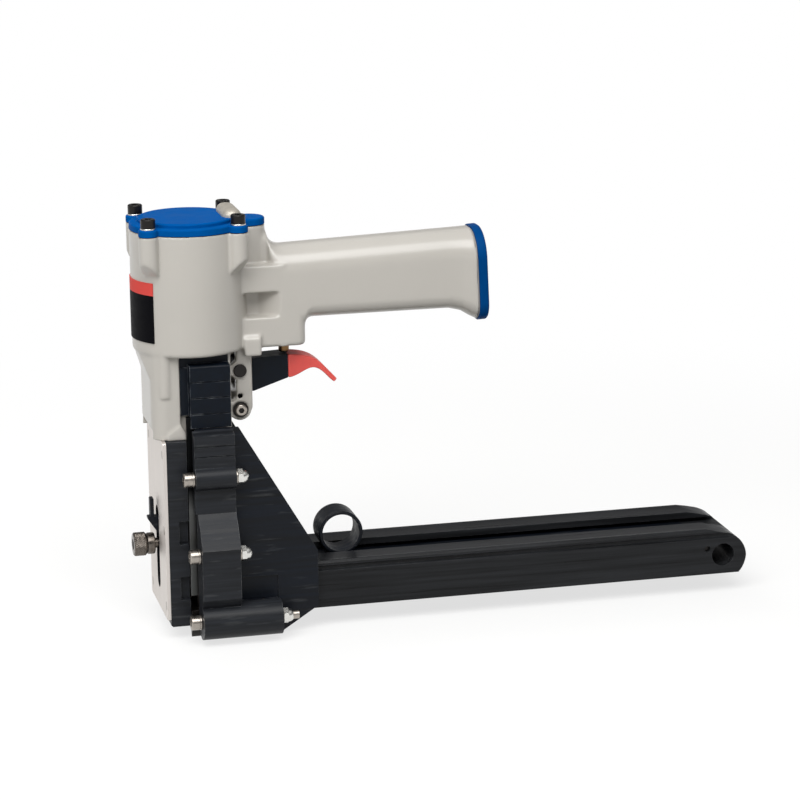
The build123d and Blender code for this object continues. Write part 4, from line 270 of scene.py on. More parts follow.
@dataclass
class Palette:
    """Materials by finish, each made once."""

    wear: Wear = Wear()
    made: dict[str, bpy.types.Material] = field(default_factory=dict)

    def get(self, finish: Finish) -> bpy.types.Material:
        """Gives the material of a finish.

        Args:
            finish: The finish.

        Returns:
            Its material.
        """
        if finish.name not in self.made:
            self.made[finish.name] = self.make(finish)
        return self.made[finish.name]

    def make(self, finish: Finish) -> bpy.types.Material:
        """Builds the material of a finish.

        Args:
            finish: The finish.

        Returns:
            A new material.
        """
        material, tree, shader = new_material(finish.name)
        place = add_node(tree, "TexCoord")
        along = add_node(tree, "Mapping", {"Vector": place.outputs["Object"], "Scale": finish.lay.value})
        cloud = add_node(tree, "TexNoise", {"Vector": along.outputs["Vector"], "Detail": CLOUD_DETAIL,
                                            "Scale": 1 / (finish.mottle_mm * MM)})
        skin = add_node(tree, "TexNoise", {"Vector": along.outputs["Vector"], "Detail": RELIEF_DETAIL,
                                           "Scale": 1 / (finish.relief_width_mm * MM)})
        tint = add_node(tree, "ValToRGB", {"Fac": cloud.outputs["Fac"]},
                        stops=((NOISE_LOW, linear(finish.colour, 1 - finish.mottle)),
                               (NOISE_HIGH, linear(finish.colour, 1 + finish.mottle))))
        colour = tint.outputs["Color"]
        if finish.worn:
            colour = self.worn_edges(tree, finish, colour)
        # Painted shade on the upper end of the piece
        if finish.painted_shade:
            colour = self.painted_shade_above(tree, finish, colour)
        gloss = add_node(tree, "MapRange", {"Value": cloud.outputs["Fac"], "From Min": NOISE_LOW,
                                            "From Max": NOISE_HIGH,
                                            "To Min": finish.roughness - finish.roughness_swing,
                                            "To Max": finish.roughness + finish.roughness_swing})
        relief = add_node(tree, "Bump", {"Height": skin.outputs["Fac"], "Distance": finish.relief_mm * MM})
        tree.links.new(colour, shader.inputs["Base Color"])
        tree.links.new(gloss.outputs["Result"], shader.inputs["Roughness"])
        tree.links.new(relief.outputs["Normal"], shader.inputs["Normal"])
        shader.inputs["Metallic"].default_value = finish.metallic
        if finish.metallic < 1:
            shader.inputs["IOR"].default_value = finish.ior
        shader.inputs["Specular IOR Level"].default_value = finish.specular
        shader.inputs["Coat Weight"].default_value = finish.coat
        return material

    def worn_edges(self, tree: bpy.types.NodeTree, finish: Finish,
                   colour: bpy.types.NodeSocket) -> bpy.types.NodeSocket:
        """Lets the metal show in patches where an edge of the coat has been rubbed, and in scuffs along X.

        Args:
            tree: Node tree to add to.
            finish: Finish with the colour and width of the wear.
            colour: Colour of the sound coat.

        Returns:
            Colour socket with the wear in it.
        """
        wear = self.wear
        rounded = add_node(tree, "Bevel", {"Radius": finish.worn_mm * MM}, samples=wear.edge_samples)
        surface = add_node(tree, "NewGeometry")
        turn = add_node(tree, "VectorMath", {0: rounded.outputs["Normal"], 1: surface.outputs["Normal"]},
                        operation="DOT_PRODUCT")
        edge = add_node(tree, "MapRange", {"Value": turn.outputs["Value"], "From Min": wear.edge_limits[0],
                                           "From Max": wear.edge_limits[1]})
        place = add_node(tree, "TexCoord")
        patches = add_node(tree, "TexNoise", {"Vector": place.outputs["Object"], "Detail": CLOUD_DETAIL,
                                              "Scale": 1 / (wear.patch_mm * MM)})
        rubbed = add_node(tree, "MapRange", {"Value": patches.outputs["Fac"],
                                             "From Min": wear.patch_limits[0],
                                             "From Max": wear.patch_limits[1]})
        amount = add_node(tree, "Math", {0: edge.outputs["Result"], 1: rubbed.outputs["Result"]},
                          operation="MULTIPLY")
        if finish.scuff:
            along = add_node(tree, "Mapping", {"Vector": place.outputs["Object"], "Scale": wear.scuff_lay})
            lines = add_node(tree, "TexNoise", {"Vector": along.outputs["Vector"],
                                                "Detail": wear.scuff_detail,
                                                "Scale": 1 / (wear.scuff_mm * MM)})
            drawn = add_node(tree, "MapRange", {"Value": lines.outputs["Fac"],
                                                "From Min": wear.scuff_limits[0],
                                                "From Max": wear.scuff_limits[1], "To Max": finish.scuff})
            amount = add_node(tree, "Math", {0: amount.outputs["Value"], 1: drawn.outputs["Result"]},
                              operation="MAXIMUM")
        mixed = add_node(tree, "MixRGB", {"Fac": amount.outputs["Value"], "Color1": colour,
                                          "Color2": linear(finish.worn)})
        return mixed.outputs["Color"]

    def painted_shade_above(self, tree: bpy.types.NodeTree, finish: Finish,
                 colour: bpy.types.NodeSocket) -> bpy.types.NodeSocket:
        """Paints shade on the upper end of a piece, darker from one height up.

        Args:
            tree: Node tree to add to.
            finish: Finish with the colour of the painted shade and the heights between which it comes on.
            colour: Colour of the metal under the painted shade.

        Returns:
            Colour socket with the painted shade in it.
        """
        place = add_node(tree, "TexCoord")
        split = add_node(tree, "SeparateXYZ", {"Vector": place.outputs["Object"]})
        share = add_node(tree, "MapRange", {"Value": split.outputs["Z"], "From Min": finish.painted_shade_from_mm * MM,
                                            "From Max": finish.painted_shade_full_mm * MM})
        mixed = add_node(tree, "MixRGB", {"Fac": share.outputs["Result"], "Color1": colour,
                                          "Color2": linear(finish.painted_shade)})
        return mixed.outputs["Color"]


@dataclass(frozen=True)
class LabelFilm:
    """Printed polyester film: a plain red band over plain black. Matt, with a trace of dust."""

    red: str = "#D9504A"
    black: str = "#050509"
    red_share: float = 0.21
    dust_mm: float = 3.0
    clean_roughness: float = 0.45
    dusty_roughness: float = 0.65
    specular: float = 0.05

    def material(self, node: str) -> bpy.types.Material:
        """Builds the film's material to the height of its node.

        Args:
            node: Node of the label.

        Returns:
            The material.
        """
        low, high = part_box(node)
        material, tree, shader = new_material("PrintedPolyesterFilm")
        place = add_node(tree, "TexCoord")
        split = add_node(tree, "SeparateXYZ", {"Vector": place.outputs["Object"]})
        share = add_node(tree, "MapRange", {"Value": split.outputs["Z"], "From Min": low[2],
                                            "From Max": high[2]})
        dust = add_node(tree, "TexNoise", {"Vector": place.outputs["Object"], "Detail": CLOUD_DETAIL,
                                           "Scale": 1 / (self.dust_mm * MM)})
        bands = add_node(tree, "ValToRGB", {"Fac": share.outputs["Result"]},
                         stops=((0.0, linear(self.black)), (1 - self.red_share, linear(self.red))))
        bands.color_ramp.interpolation = "CONSTANT"
        gloss = add_node(tree, "MapRange", {"Value": dust.outputs["Fac"], "To Min": self.clean_roughness,
                                            "To Max": self.dusty_roughness})
        tree.links.new(bands.outputs["Color"], shader.inputs["Base Color"])
        tree.links.new(gloss.outputs["Result"], shader.inputs["Roughness"])
        shader.inputs["Specular IOR Level"].default_value = self.specular
        return material


def paint(piece: bpy.types.Object, material: bpy.types.Material) -> None:
    """Gives a piece one material.

    Args:
        piece: Object to paint.
        material: Its material.
    """
    piece.data.materials.clear()
    piece.data.materials.append(material)


def soften(piece: bpy.types.Object, width_mm: float) -> None:
    """Breaks the sharp edges of a piece with modifiers.

    Args:
        piece: Object whose edges are broken.
        width_mm: Width of the broken edge.
    """
    normals = piece.data.attributes.get("custom_normal")
    if normals:
        piece.data.attributes.remove(normals)
    piece.data.polygons.foreach_set("use_smooth", [True] * len(piece.data.polygons))
    weld = piece.modifiers.new("weld", "WELD")
    weld.merge_threshold = WELD_MM * MM
    plain = piece.modifiers.new("plain_faces", "DECIMATE")
    plain.decimate_type = "DISSOLVE"
    plain.angle_limit = radians(FLAT_DEGREES)
    edge = piece.modifiers.new("broken_edges", "BEVEL")
    edge.width = width_mm * MM
    edge.segments = EDGE_STEPS
    edge.limit_method = "ANGLE"
    edge.angle_limit = radians(SHARP_DEGREES)
    closed = piece.modifiers.new("closed_slivers", "WELD")
    closed.merge_threshold = SLIVER_MM * MM
    shade = piece.modifiers.new("even_shading", "WEIGHTED_NORMAL")
    shade.keep_sharp = False


def put(name: str, data: bpy.types.ID) -> bpy.types.Object:
    """Puts a mesh, a light or a camera in the scene.

    Args:
        name: Name of the object.
        data: What it holds.

    Returns:
        The new object.
    """
    thing = bpy.data.objects.new(name, data)
    bpy.context.scene.collection.objects.link(thing)
    return thing


def new_piece(name: str, mesh: bpy.types.Mesh, body: str) -> bpy.types.Object:
    """Puts a mesh in the scene as a piece of a body.

    Args:
        name: Name of the piece.
        mesh: Its mesh, in the frame of the model.
        body: CAD body that it moves with.

    Returns:
        The new object.
    """
    piece = put(name, mesh)
    mesh.polygons.foreach_set("use_smooth", [True] * len(mesh.polygons))
    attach(piece, body)
    LOG.info("piece %s on %s", name, body)
    return piece


def baked(piece: bpy.types.Object) -> bpy.types.Mesh:
    """Gives the mesh of an object with its modifiers in it.

    Args:
        piece: Object with modifiers.

    Returns:
        A new mesh.
    """
    graph = bpy.context.evaluated_depsgraph_get()
    return bpy.data.meshes.new_from_object(piece.evaluated_get(graph))


def finished(name: str, shape: bmesh.types.BMesh) -> bpy.types.Mesh:
    """Turns a shape that was worked on into a mesh, and frees it.

    Args:
        name: Name of the mesh.
        shape: The shape.

    Returns:
        The mesh.
    """
    mesh = bpy.data.meshes.new(name)
    shape.to_mesh(mesh)
    shape.free()
    return mesh


def skinned(name: str, rings: list[list[Vector]]) -> bpy.types.Mesh:
    """Lays faces from ring to ring and closes both ends.

    Args:
        name: Name of the mesh.
        rings: Rings of points in order, each with as many points as the others.

    Returns:
        The mesh.
    """
    shape = bmesh.new()
    loops = [[shape.verts.new(spot) for spot in ring] for ring in rings]
    for first, second in zip(loops, loops[1:]):
        for step in range(len(first)):
            after = (step + 1) % len(first)
            shape.faces.new((first[step], first[after], second[after], second[step]))
    shape.faces.new(loops[0])
    shape.faces.new(loops[-1])
    bmesh.ops.recalc_face_normals(shape, faces=shape.faces)
    return finished(name, shape)


@dataclass
class SubAssembly:
    """Pieces that go together on the bench, with the finish of each."""

    palette: Palette
    edge_mm: float = 0.35
    finishes: dict[str, Finish] = field(default_factory=dict)

    def dress(self) -> None:
        """Paints the sub-assembly's CAD nodes and breaks their edges."""
        for name, finish in self.finishes.items():
            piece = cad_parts[name]
            paint(piece, self.palette.get(finish))
            soften(piece, self.edge_mm)
            LOG.info("node %s in %s", name, finish.name)


@dataclass(frozen=True)
class CoilSpring:
    """Compression spring that is held at its top, over a valve that lifts.

    It has one closed turn at each end, ground flat. The wire is in millimetres. The share of it that is left
    under its middle at an end is ground.
    """

    node: str
    joint: str
    wire: float
    turns: int
    steps: int = 48
    sides: int = 12
    ground: float = 0.25

    def rise(self, turn: float, length: float) -> float:
        """Height of the wire's middle above the foot of the spring.

        Args:
            turn: Turns from the foot.
            length: Length of the spring in metres.

        Returns:
            Height in metres.
        """
        wire = self.wire * MM
        foot = self.ground * wire
        pitch = (length - 2 * (foot + wire)) / (self.turns - 2)
        return foot + wire * min(turn, 1.0) + pitch * min(max(turn - 1, 0.0), self.turns - 2) + (
            wire * max(turn - self.turns + 1, 0.0))

    def mesh(self) -> bpy.types.Mesh:
        """Winds the wire in the space of the CAD node.

        Returns:
            The mesh.
        """
        low, high = (Vector(corner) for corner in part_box(self.node))
        middle = (low + high) / 2
        half = self.wire * MM / 2
        reach = (high.x - low.x) / 2 - half
        rings = []
        for step in range(self.turns * self.steps + 1):
            turn = step / self.steps
            out = Vector((cos(2 * pi * turn), sin(2 * pi * turn), 0))
            level = low.z + self.rise(turn, high.z - low.z)
            ring = []
            for side in range(self.sides):
                angle = 2 * pi * side / self.sides
                spot = Vector((middle.x, middle.y, 0)) + (reach + half * cos(angle)) * out
                spot.z = min(max(level + half * sin(angle), low.z), high.z)
                ring.append(spot)
            rings.append(ring)
        return skinned(f"coiled_{self.node}", rings)

    def dress(self, palette: Palette) -> None:
        """Puts a coiled spring in the place of the rigid one.

        Args:
            palette: Where its material comes from.
        """
        spring = new_piece(f"coiled_{self.node}", self.mesh(), "frame")
        paint(spring, palette.get(GROUND_STEEL))
        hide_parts(self.node)
        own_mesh(spring)


@dataclass
class CastBody(SubAssembly):
    """The grey casting, whose corners are rounded as a casting's are, with the label on it.

    Lengths are in millimetres. The stop hole is drilled across the lug, under the trigger's pin.
    """

    voxel_mm: float = 0.8
    rim_cells: int = 2
    passes: int = 6
    pass_share: float = 0.5
    stop_hole_r: float = 1.5
    stop_hole_drop: float = 15.2
    drill_over: float = 2.0
    drill_sides: int = 32
    label: LabelFilm = LabelFilm()

    def machined_faces(self) -> list[tuple[Vector, Vector]]:
        """Finds the flat faces that another piece is screwed to, which stay sharp.

        Returns:
            A point on each of them and the way it faces.
        """
        cap_seat = Vector(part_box("head_gasket")[0])
        nose_seat = Vector(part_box("nose_block")[1])
        low, high = (Vector(corner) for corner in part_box("handle_end_gasket"))
        lean = (high.x - low.x) / (high.z - low.z)
        return [(cap_seat, Vector((0, 0, 1))), (nose_seat, Vector((0, 0, -1))),
                ((low + high) / 2, Vector((1, 0, lean)).normalized())]

    def rounded(self) -> bpy.types.Mesh:
        """Copies the casting and rounds it, apart from its machined faces and the stop hole.

        Returns:
            The rounded mesh.
        """
        shape = bmesh.new()
        shape.from_mesh(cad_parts["main_housing"].data)
        bmesh.ops.remove_doubles(shape, verts=shape.verts, dist=WELD_MM * MM)
        piece = put("casting", finished("casting", shape))
        cells = piece.modifiers.new("cells", "REMESH")
        cells.mode = "VOXEL"
        cells.voxel_size = self.voxel_mm * MM
        piece.data = baked(piece)
        piece.modifiers.clear()
        soft = piece.vertex_groups.new(name="soft")
        margin = self.rim_cells * self.voxel_mm * MM
        faces = self.machined_faces()
        for vertex in piece.data.vertices:
            free = all((point - vertex.co).dot(normal) > margin for point, normal in faces)
            soft.add([vertex.index], float(free), "REPLACE")
        smooth = piece.modifiers.new("rounded", "SMOOTH")
        smooth.factor = self.pass_share
        smooth.iterations = self.passes
        smooth.vertex_group = soft.name
        drill = self.drill()
        hole = piece.modifiers.new("drilled", "BOOLEAN")
        hole.operation = "DIFFERENCE"
        hole.object = drill
        hole.solver = "EXACT"
        mesh = baked(piece)
        bpy.data.objects.remove(piece)
        bpy.data.objects.remove(drill)
        return mesh

    def stop_hole(self) -> Vector:
        """Finds the stop hole under the trigger's pin.

        Returns:
            Its middle.
        """
        low, high = (Vector(corner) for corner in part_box("trigger_pivot_pin"))
        return (low + high) / 2 - Vector((0, 0, self.stop_hole_drop * MM))

    def drill(self) -> bpy.types.Object:
        """Makes the drill for the stop hole, whose edge stays crisp.

        Returns:
            A rod that stands out on both sides of the lug.
        """
        low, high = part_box("trigger_pivot_pin")
        radius = self.stop_hole_r * MM
        length = high[1] - low[1] + 2 * self.drill_over * MM
        across = Matrix.Translation(self.stop_hole()) @ Matrix.Rotation(pi / 2, 4, "X")
        shape = bmesh.new()
        bmesh.ops.create_cone(shape, cap_ends=True, segments=self.drill_sides, radius1=radius, radius2=radius,
                              depth=length, matrix=across)
        return put("drill", finished("drill", shape))

    def paint_shade_in_stop_hole(self, casting: bpy.types.Mesh) -> None:
        """Paints shade on the wall of the stop hole: nearly black.

        Args:
            casting: Mesh of the casting, already painted.
        """
        # The wall of the stop hole gets painted shade
        casting.materials.append(self.palette.get(BORE_PAINTED_SHADE))
        middle = self.stop_hole()
        for face in casting.polygons:
            face.material_index = int((face.center - middle).xz.length < self.stop_hole_r * MM)

    def dress(self) -> None:
        """Replaces the casting by the rounded one and dresses the label."""
        body = new_piece("rounded_cast_body", self.rounded(), "frame")
        paint(body, self.palette.get(GREY_ENAMEL))
        # Painted shade in the stop hole
        self.paint_shade_in_stop_hole(body.data)
        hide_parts("main_housing")
        paint(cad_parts["label_plate"], self.label.material("label_plate"))


@dataclass
class CylinderHead(SubAssembly):
    """Cap, screws and the pieces inside the cylinder."""

    edge_mm: float = 0.5
    finishes: dict[str, Finish] = field(default_factory=lambda: {
        "head_cap": BLUE_ENAMEL, "head_gasket": NITRILE, "head_screws": BLACK_STEEL,
        "head_lock_washers": ZINC_PLATE, "exhaust_deflector": BARE_ALLOY, "cylinder_liner": BARE_ALLOY,
        "liner_seals": NITRILE, "bumper": NITRILE, "piston": BARE_ALLOY, "piston_ring": NITRILE,
        "driver_pin": GROUND_STEEL, "driver_blade": GROUND_STEEL, "crosshead": GROUND_STEEL,
        "head_valve": ACETAL})
    spring: CoilSpring = CoilSpring("head_valve_spring", "head_valve_lift", wire=1.4, turns=5)

    def dress(self) -> None:
        """Dresses the head and the spring of its valve."""
        super().dress()
        self.spring.dress(self.palette)


@dataclass
class Handle(SubAssembly):
    """End cap of the handle, the trigger and its valve.

    The head of the lug's screw carries a painted highlight in bright steel, from its face down to lug_head
    millimetres, outside its socket.
    """

    edge_mm: float = 0.5
    # The end cap's darker blue is painted shade
    # The pale gasket stands for a painted highlight round the end cap
    finishes: dict[str, Finish] = field(default_factory=lambda: {
        "handle_end_cap": END_CAP_SHADED_ENAMEL, "handle_end_gasket": GASKET_PAINTED_HIGHLIGHT, "end_cap_screws": BLACK_STEEL,
        "trigger_lever": BLACK_PAINT, "trigger_sleeve": DIPPED_VINYL, "trigger_pivot_pin": BLACK_STEEL,
        "lug_screw": BLACK_STEEL, "valve_bush": BRONZE, "valve_plug": BRONZE, "valve_stem": BRONZE})
    spring: CoilSpring = CoilSpring("valve_spring", "valve_stem_lift", wire=0.7, turns=5)
    lug_head: float = 2.35
    lug_socket_r: float = 1.75

    def paint_highlight_on_lug_screw(self) -> None:
        """Paints a highlight in bright steel on the head of the lug's screw, between its black flange and
        socket.
        """
        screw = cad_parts["lug_screw"].data
        screw.materials.append(self.palette.get(BRIGHT_STEEL))
        low, high = (Vector(corner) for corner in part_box("lug_screw"))
        flange = low.y + self.lug_head * MM
        for face in screw.polygons:
            out = (face.center - (low + high) / 2).xz.length
            face.material_index = int(face.center.y < flange and out > self.lug_socket_r * MM)

    def dress(self) -> None:
        """Dresses the handle and the spring of its valve."""
        super().dress()
        # Painted highlight on the head of the lug's screw
        self.paint_highlight_on_lug_screw()
        self.spring.dress(self.palette)


@dataclass
class ClampScrew:
    """Knurled clamp screw of the depth adjuster. Lengths are in millimetres.

    The knurl has crossed grooves, which lean by the angle twist from one end of the head to the other. The
    floor of the socket and the end of the shank close on a small ring of middle_r.
    """

    teeth: int = 40
    rows: int = 36
    around: int = 240
    knurl: float = 0.28
    twist: float = 0.5
    edge: float = 0.8
    head: float = 7.6
    hex_across: float = 6.0
    hex_depth: float = 4.0
    shank_r: float = 3.0
    middle_r: float = 0.02

    def angles(self) -> list[float]:
        """Finds the steps round the screw.

        Returns:
            Their angles.
        """
        return [2 * pi * step / self.around for step in range(self.around)]

    def groove(self, angle: float, share: float) -> float:
        """Depth of the crossed grooves at a place on the head.

        Args:
            angle: Angle round the head.
            share: Share of the way along it.

        Returns:
            Depth in millimetres.
        """
        lean = self.twist * share
        left = abs(sin(self.teeth / 2 * (angle + lean)))
        right = abs(sin(self.teeth / 2 * (angle - lean)))
        return self.knurl * (1 - min(left, right))

    def socket(self, angle: float) -> float:
        """Radius of the socket's hexagon.

        Args:
            angle: Angle round the socket.

        Returns:
            Radius in millimetres.
        """
        return self.hex_across / 2 / cos((angle + pi / 6) % (pi / 3) - pi / 6)

    def rings(self, radius: float, length: float) -> list[list[tuple[float, float]]]:
        """Finds every point of the screw, from the floor of its socket to the end of its shank.

        Args:
            radius: Radius of the head.
            length: Length of the whole screw.

        Returns:
            Rings of pairs, each the depth along the axis and the radius of a point.
        """
        angles = self.angles()
        rings = [[(self.hex_depth, self.middle_r)] * self.around]
        rings += [[(depth, self.socket(angle)) for angle in angles] for depth in (self.hex_depth, 0.0)]
        rings.append([(0.0, radius - self.edge)] * self.around)
        for row in range(self.rows + 1):
            share = row / self.rows
            along = self.edge + share * (self.head - 2 * self.edge)
            rings.append([(along, radius - self.groove(angle, share)) for angle in angles])
        shank = ((self.head, radius - self.edge), (self.head, self.shank_r), (length, self.shank_r),
                 (length, self.middle_r))
        rings += [[pair] * self.around for pair in shank]
        return rings

    def mesh(self, node: str) -> bpy.types.Mesh:
        """Builds the screw in the place of its CAD node.

        Args:
            node: CAD node of the screw.

        Returns:
            The mesh.
        """
        low, high = (Vector(corner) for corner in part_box(node))
        middle = (low + high) / 2
        angles = self.angles()
        rings = []
        for pairs in self.rings((high.y - low.y) / 2 / MM, (high.x - low.x) / MM):
            rings.append([Vector((low.x + along * MM, middle.y + reach * MM * cos(angle),
                                  middle.z + reach * MM * sin(angle)))
                          for (along, reach), angle in zip(pairs, angles)])
        return skinned("knurled_clamp_screw", rings)


@dataclass
class Nose(SubAssembly):
    """Front plate, nose block and the clinch depth adjuster.

    A face of the plate is a wall of its slot if it lies within slot_half_width millimetres of the middle and
    turns away from the front.
    """

    edge_mm: float = 0.3
    finishes: dict[str, Finish] = field(default_factory=lambda: {
        "front_plate": LINISHED_STEEL, "front_plate_screws": BRIGHT_STEEL, "nose_block": GREY_BLACK_ANODISED,
        "nose_screws": BLACK_STEEL, "front_guide": GROUND_STEEL, "rear_guide": BLACK_ANODISED,
        "adjuster_slider": BLACK_SHEET, "adjusting_nut": DARK_NICKEL})
    clamp: ClampScrew = field(default_factory=ClampScrew)
    crisp_degrees: float = 40.0
    slot_half_width: float = 5.6
    wall_facing: float = 0.5

    def paint_shade_in_slot(self) -> None:
        """Paints the walls of the plate's slot black, as painted shade inside the slot."""
        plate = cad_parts["front_plate"].data
        plate.materials.append(self.palette.get(BLACK_SHEET))
        low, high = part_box("front_plate")
        margin = self.slot_half_width * MM
        for face in plate.polygons:
            inside = abs(face.center.y) < margin and low[2] + margin < face.center.z < high[2] - margin
            face.material_index = int(inside and abs(face.normal.x) < self.wall_facing)

    def dress(self) -> None:
        """Dresses the nose and gives the clamp screw its knurled head."""
        super().dress()
        # Painted shade on the walls of the plate's slot
        self.paint_shade_in_slot()
        screw = new_piece("knurled_clamp_screw", self.clamp.mesh("adjusting_screw"), "clamp_screw")
        paint(screw, self.palette.get(DARK_NICKEL))
        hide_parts("adjusting_screw")
        crisp = screw.modifiers.new("crisp_edges", "EDGE_SPLIT")
        crisp.split_angle = radians(self.crisp_degrees)


def sided(finish: Finish, *names: str) -> dict[str, Finish]:
    """Gives one finish to the left and right pieces of each name.

    Args:
        finish: The finish.
        names: Names without their side.

    Returns:
        Node names and the finish.
    """
    return {f"{name}_{side}": finish for name in names for side in ("left", "right")}


@dataclass
class Clincher(SubAssembly):
    """Side plates, clincher housings, claws and bars."""

    finishes: dict[str, Finish] = field(default_factory=lambda: {
        **sided(GREY_BLACK_ANODISED, "clincher_housing"), **sided(BLACK_PAINT, "crosshead_cover"),
        **sided(BLACK_SHEET, "side_plate"),
        **sided(BLACK_STEEL, "clincher_claw"), **sided(BAR_STEEL_PAINTED_SHADE, "clincher_bar"),
        "claw_pins": GROUND_STEEL, "rail_screws": BLACK_STEEL, "housing_bolts": BRIGHT_STEEL,
        "housing_washers": BRIGHT_STEEL, "housing_nuts": ZINC_PLATE})


@dataclass
class Magazine(SubAssembly):
    """Rails, core and end block, with the pusher and its ring."""

    finishes: dict[str, Finish] = field(default_factory=lambda: {
        **sided(BLACK_ANODISED, "magazine_rail"), "magazine_end_block": BLACK_ANODISED,
        "magazine_roll_pin": BLACK_STEEL, "magazine_core": BLACK_SHEET, "pusher": BLACK_SHEET,
        "pusher_ring": BLACK_SHEET, "spring_roll": GROUND_STEEL})


@dataclass(frozen=True)
class Softbox:
    """Rectangular soft light that faces a point. Lengths are in metres."""

    name: str
    spot: tuple[float, float, float]
    aim: tuple[float, float, float]
    size: tuple[float, float]
    watts: float
    mirrored: bool = True

    def hang(self) -> None:
        """Hangs the light, which shiny surfaces show if it is to be mirrored."""
        data = bpy.data.lights.new(self.name, "AREA")
        data.shape = "RECTANGLE"
        data.size, data.size_y = self.size
        data.energy = self.watts
        lamp = put(self.name, data)
        lamp.location = self.spot
        lamp.visible_glossy = self.mirrored
        lamp.rotation_euler = (Vector(self.aim) - Vector(self.spot)).to_track_quat("-Z", "Y").to_euler()


# The point that the camera and most of the lights face
MIDDLE = (-0.02343, 0.0, 0.12737)
SOFTBOXES = (
    Softbox("overhead_softbox", (-0.45, -1.0, 1.60), (-0.45, 0.0, 0.13), (1.8, 1.1), 33.5),
    Softbox("left_softbox", (-1.30, -0.89, 1.03), MIDDLE, (0.8, 0.8), 7.0),
    Softbox("rear_softbox", (-0.40, 1.40, 0.95), MIDDLE, (1.0, 1.0), 8.0, mirrored=False),
)


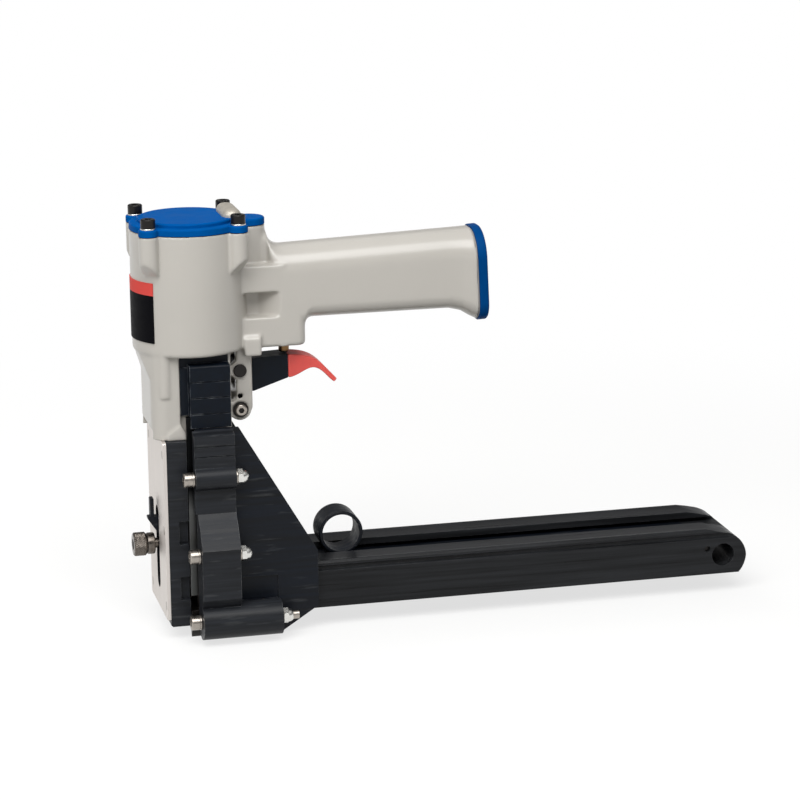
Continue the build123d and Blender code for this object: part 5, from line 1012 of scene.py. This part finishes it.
@dataclass(frozen=True)
class Studio:
    """Camera, floor and surround. Lengths are in metres and angles in degrees.

    The floor is seen as floor_white near the object, with a share of near_glow of plain white in it, and as
    plain white from white_far on. To rays that light the object it is the darker floor_bounce. Heights of
    the ceiling and the backdrop are sines of angles above the horizon.
    """

    azimuth: float = -13.57
    elevation: float = 14.16
    roll: float = -0.57
    distance: float = 1.6857
    lens_mm: float = 127.77
    sensor_mm: float = 36.0
    clip_far: float = 120.0
    floor_half: float = 40.0
    floor_white: str = "#F4F4F2"
    floor_bounce: str = "#B0B0AE"
    floor_roughness: float = 0.9
    floor_specular: float = 0.1
    near_glow: float = 0.72
    white_near: float = 0.30
    white_far: float = 0.75
    horizon: float = 0.12
    zenith: float = 0.42
    ceiling_low: float = 0.25
    ceiling_full: float = 0.7
    backdrop_top: float = 0.10
    backdrop_fade: float = 0.15

    def camera(self) -> None:
        """Puts the camera where the photograph was taken from."""
        turn, lift, roll = radians(self.azimuth), radians(self.elevation), radians(self.roll)
        back = Vector((sin(turn) * cos(lift), -cos(turn) * cos(lift), sin(lift)))
        right = Vector((cos(turn), sin(turn), 0))
        up = back.cross(right)
        side = cos(roll) * right + sin(roll) * up
        top = cos(roll) * up - sin(roll) * right
        data = bpy.data.cameras.new("photo_camera")
        data.lens = self.lens_mm
        data.sensor_width = self.sensor_mm
        data.clip_end = self.clip_far
        camera = put("photo_camera", data)
        spot = Vector(MIDDLE) + self.distance * back
        camera.matrix_world = Matrix.Translation(spot) @ Matrix((side, top, back)).transposed().to_4x4()
        bpy.context.scene.camera = camera

    def seen(self, tree: bpy.types.NodeTree) -> bpy.types.NodeSocket:
        """Tells rays that see the background from rays that light the object.

        Args:
            tree: Node tree to add to.

        Returns:
            Socket that is 1 for camera, glossy and transmission rays.
        """
        path = add_node(tree, "LightPath")
        total = path.outputs["Is Camera Ray"]
        for name in ("Is Glossy Ray", "Is Transmission Ray"):
            either = add_node(tree, "Math", {0: total, 1: path.outputs[name]}, operation="MAXIMUM")
            total = either.outputs["Value"]
        return total

    def floor(self) -> None:
        """Lays a pale floor that keeps the object's shadow and runs out to plain white."""
        half = self.floor_half
        level = CAD_BOX[0][2]
        corners = [(x * half, y * half, level) for x, y in ((-1, -1), (1, -1), (1, 1), (-1, 1))]
        mesh = bpy.data.meshes.new("pale_floor")
        mesh.from_pydata(corners, [], [(0, 1, 2, 3)])
        floor = put("pale_floor", mesh)
        material, tree, shader = new_material("PaleStudioFloor")
        shader.inputs["Roughness"].default_value = self.floor_roughness
        shader.inputs["Specular IOR Level"].default_value = self.floor_specular
        white = add_node(tree, "Emission", {"Color": linear(WHITE), "Strength": 1.0})
        place = add_node(tree, "TexCoord")
        away = add_node(tree, "VectorMath", {0: place.outputs["Object"]}, operation="LENGTH")
        share = add_node(tree, "MapRange", {"Value": away.outputs["Value"], "From Min": self.white_near,
                                            "From Max": self.white_far, "To Min": self.near_glow,
                                            "To Max": 1.0},
                         interpolation_type="SMOOTHSTEP")
        seen = self.seen(tree)
        bounce = add_node(tree, "MixRGB", {"Fac": seen, "Color1": linear(self.floor_bounce),
                                           "Color2": linear(self.floor_white)})
        tree.links.new(bounce.outputs["Color"], shader.inputs["Base Color"])
        amount = add_node(tree, "Math", {0: share.outputs["Result"], 1: seen}, operation="MULTIPLY")
        mixed = add_node(tree, "MixShader", {0: amount.outputs["Value"], 1: shader.outputs["BSDF"],
                                             2: white.outputs["Emission"]})
        tree.links.new(mixed.outputs["Shader"], tree.nodes["Material Output"].inputs["Surface"])
        paint(floor, material)

    def world(self) -> None:
        """Makes a plain surround, dim at the horizon and lighter overhead, like a pale ceiling.

        A low white backdrop stands all round at the end of the floor, for rays that see the background.
        """
        world = bpy.data.worlds.new("studio_surround")
        world.use_nodes = True
        bpy.context.scene.world = world
        tree = world.node_tree
        sky = tree.nodes["Background"]
        place = add_node(tree, "TexCoord")
        split = add_node(tree, "SeparateXYZ", {"Vector": place.outputs["Generated"]})
        level = add_node(tree, "MapRange", {"Value": split.outputs["Z"], "From Min": self.ceiling_low,
                                            "From Max": self.ceiling_full, "To Min": self.horizon,
                                            "To Max": self.zenith},
                         interpolation_type="SMOOTHSTEP")
        backdrop = add_node(tree, "MapRange", {"Value": split.outputs["Z"], "From Min": self.backdrop_top,
                                               "From Max": self.backdrop_fade, "To Min": 1.0, "To Max": 0.0})
        white = add_node(tree, "Math", {0: backdrop.outputs["Result"], 1: self.seen(tree)},
                         operation="MULTIPLY")
        strength = add_node(tree, "Math", {0: level.outputs["Result"], 1: white.outputs["Value"]},
                            operation="MAXIMUM")
        sky.inputs["Color"].default_value = linear(WHITE)
        tree.links.new(strength.outputs["Value"], sky.inputs["Strength"])

    def build(self) -> None:
        """Sets up the whole studio."""
        self.camera()
        self.floor()
        self.world()
        for softbox in SOFTBOXES:
            softbox.hang()
        bpy.context.scene.view_settings.view_transform = "Standard"


def main() -> None:
    """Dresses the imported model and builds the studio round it."""
    logging.basicConfig(level=logging.INFO)
    palette = Palette()
    for kind in (CastBody, CylinderHead, Handle, Nose, Clincher, Magazine):
        kind(palette).dress()
    Studio().build()


if __name__ == "__main__":
    main()
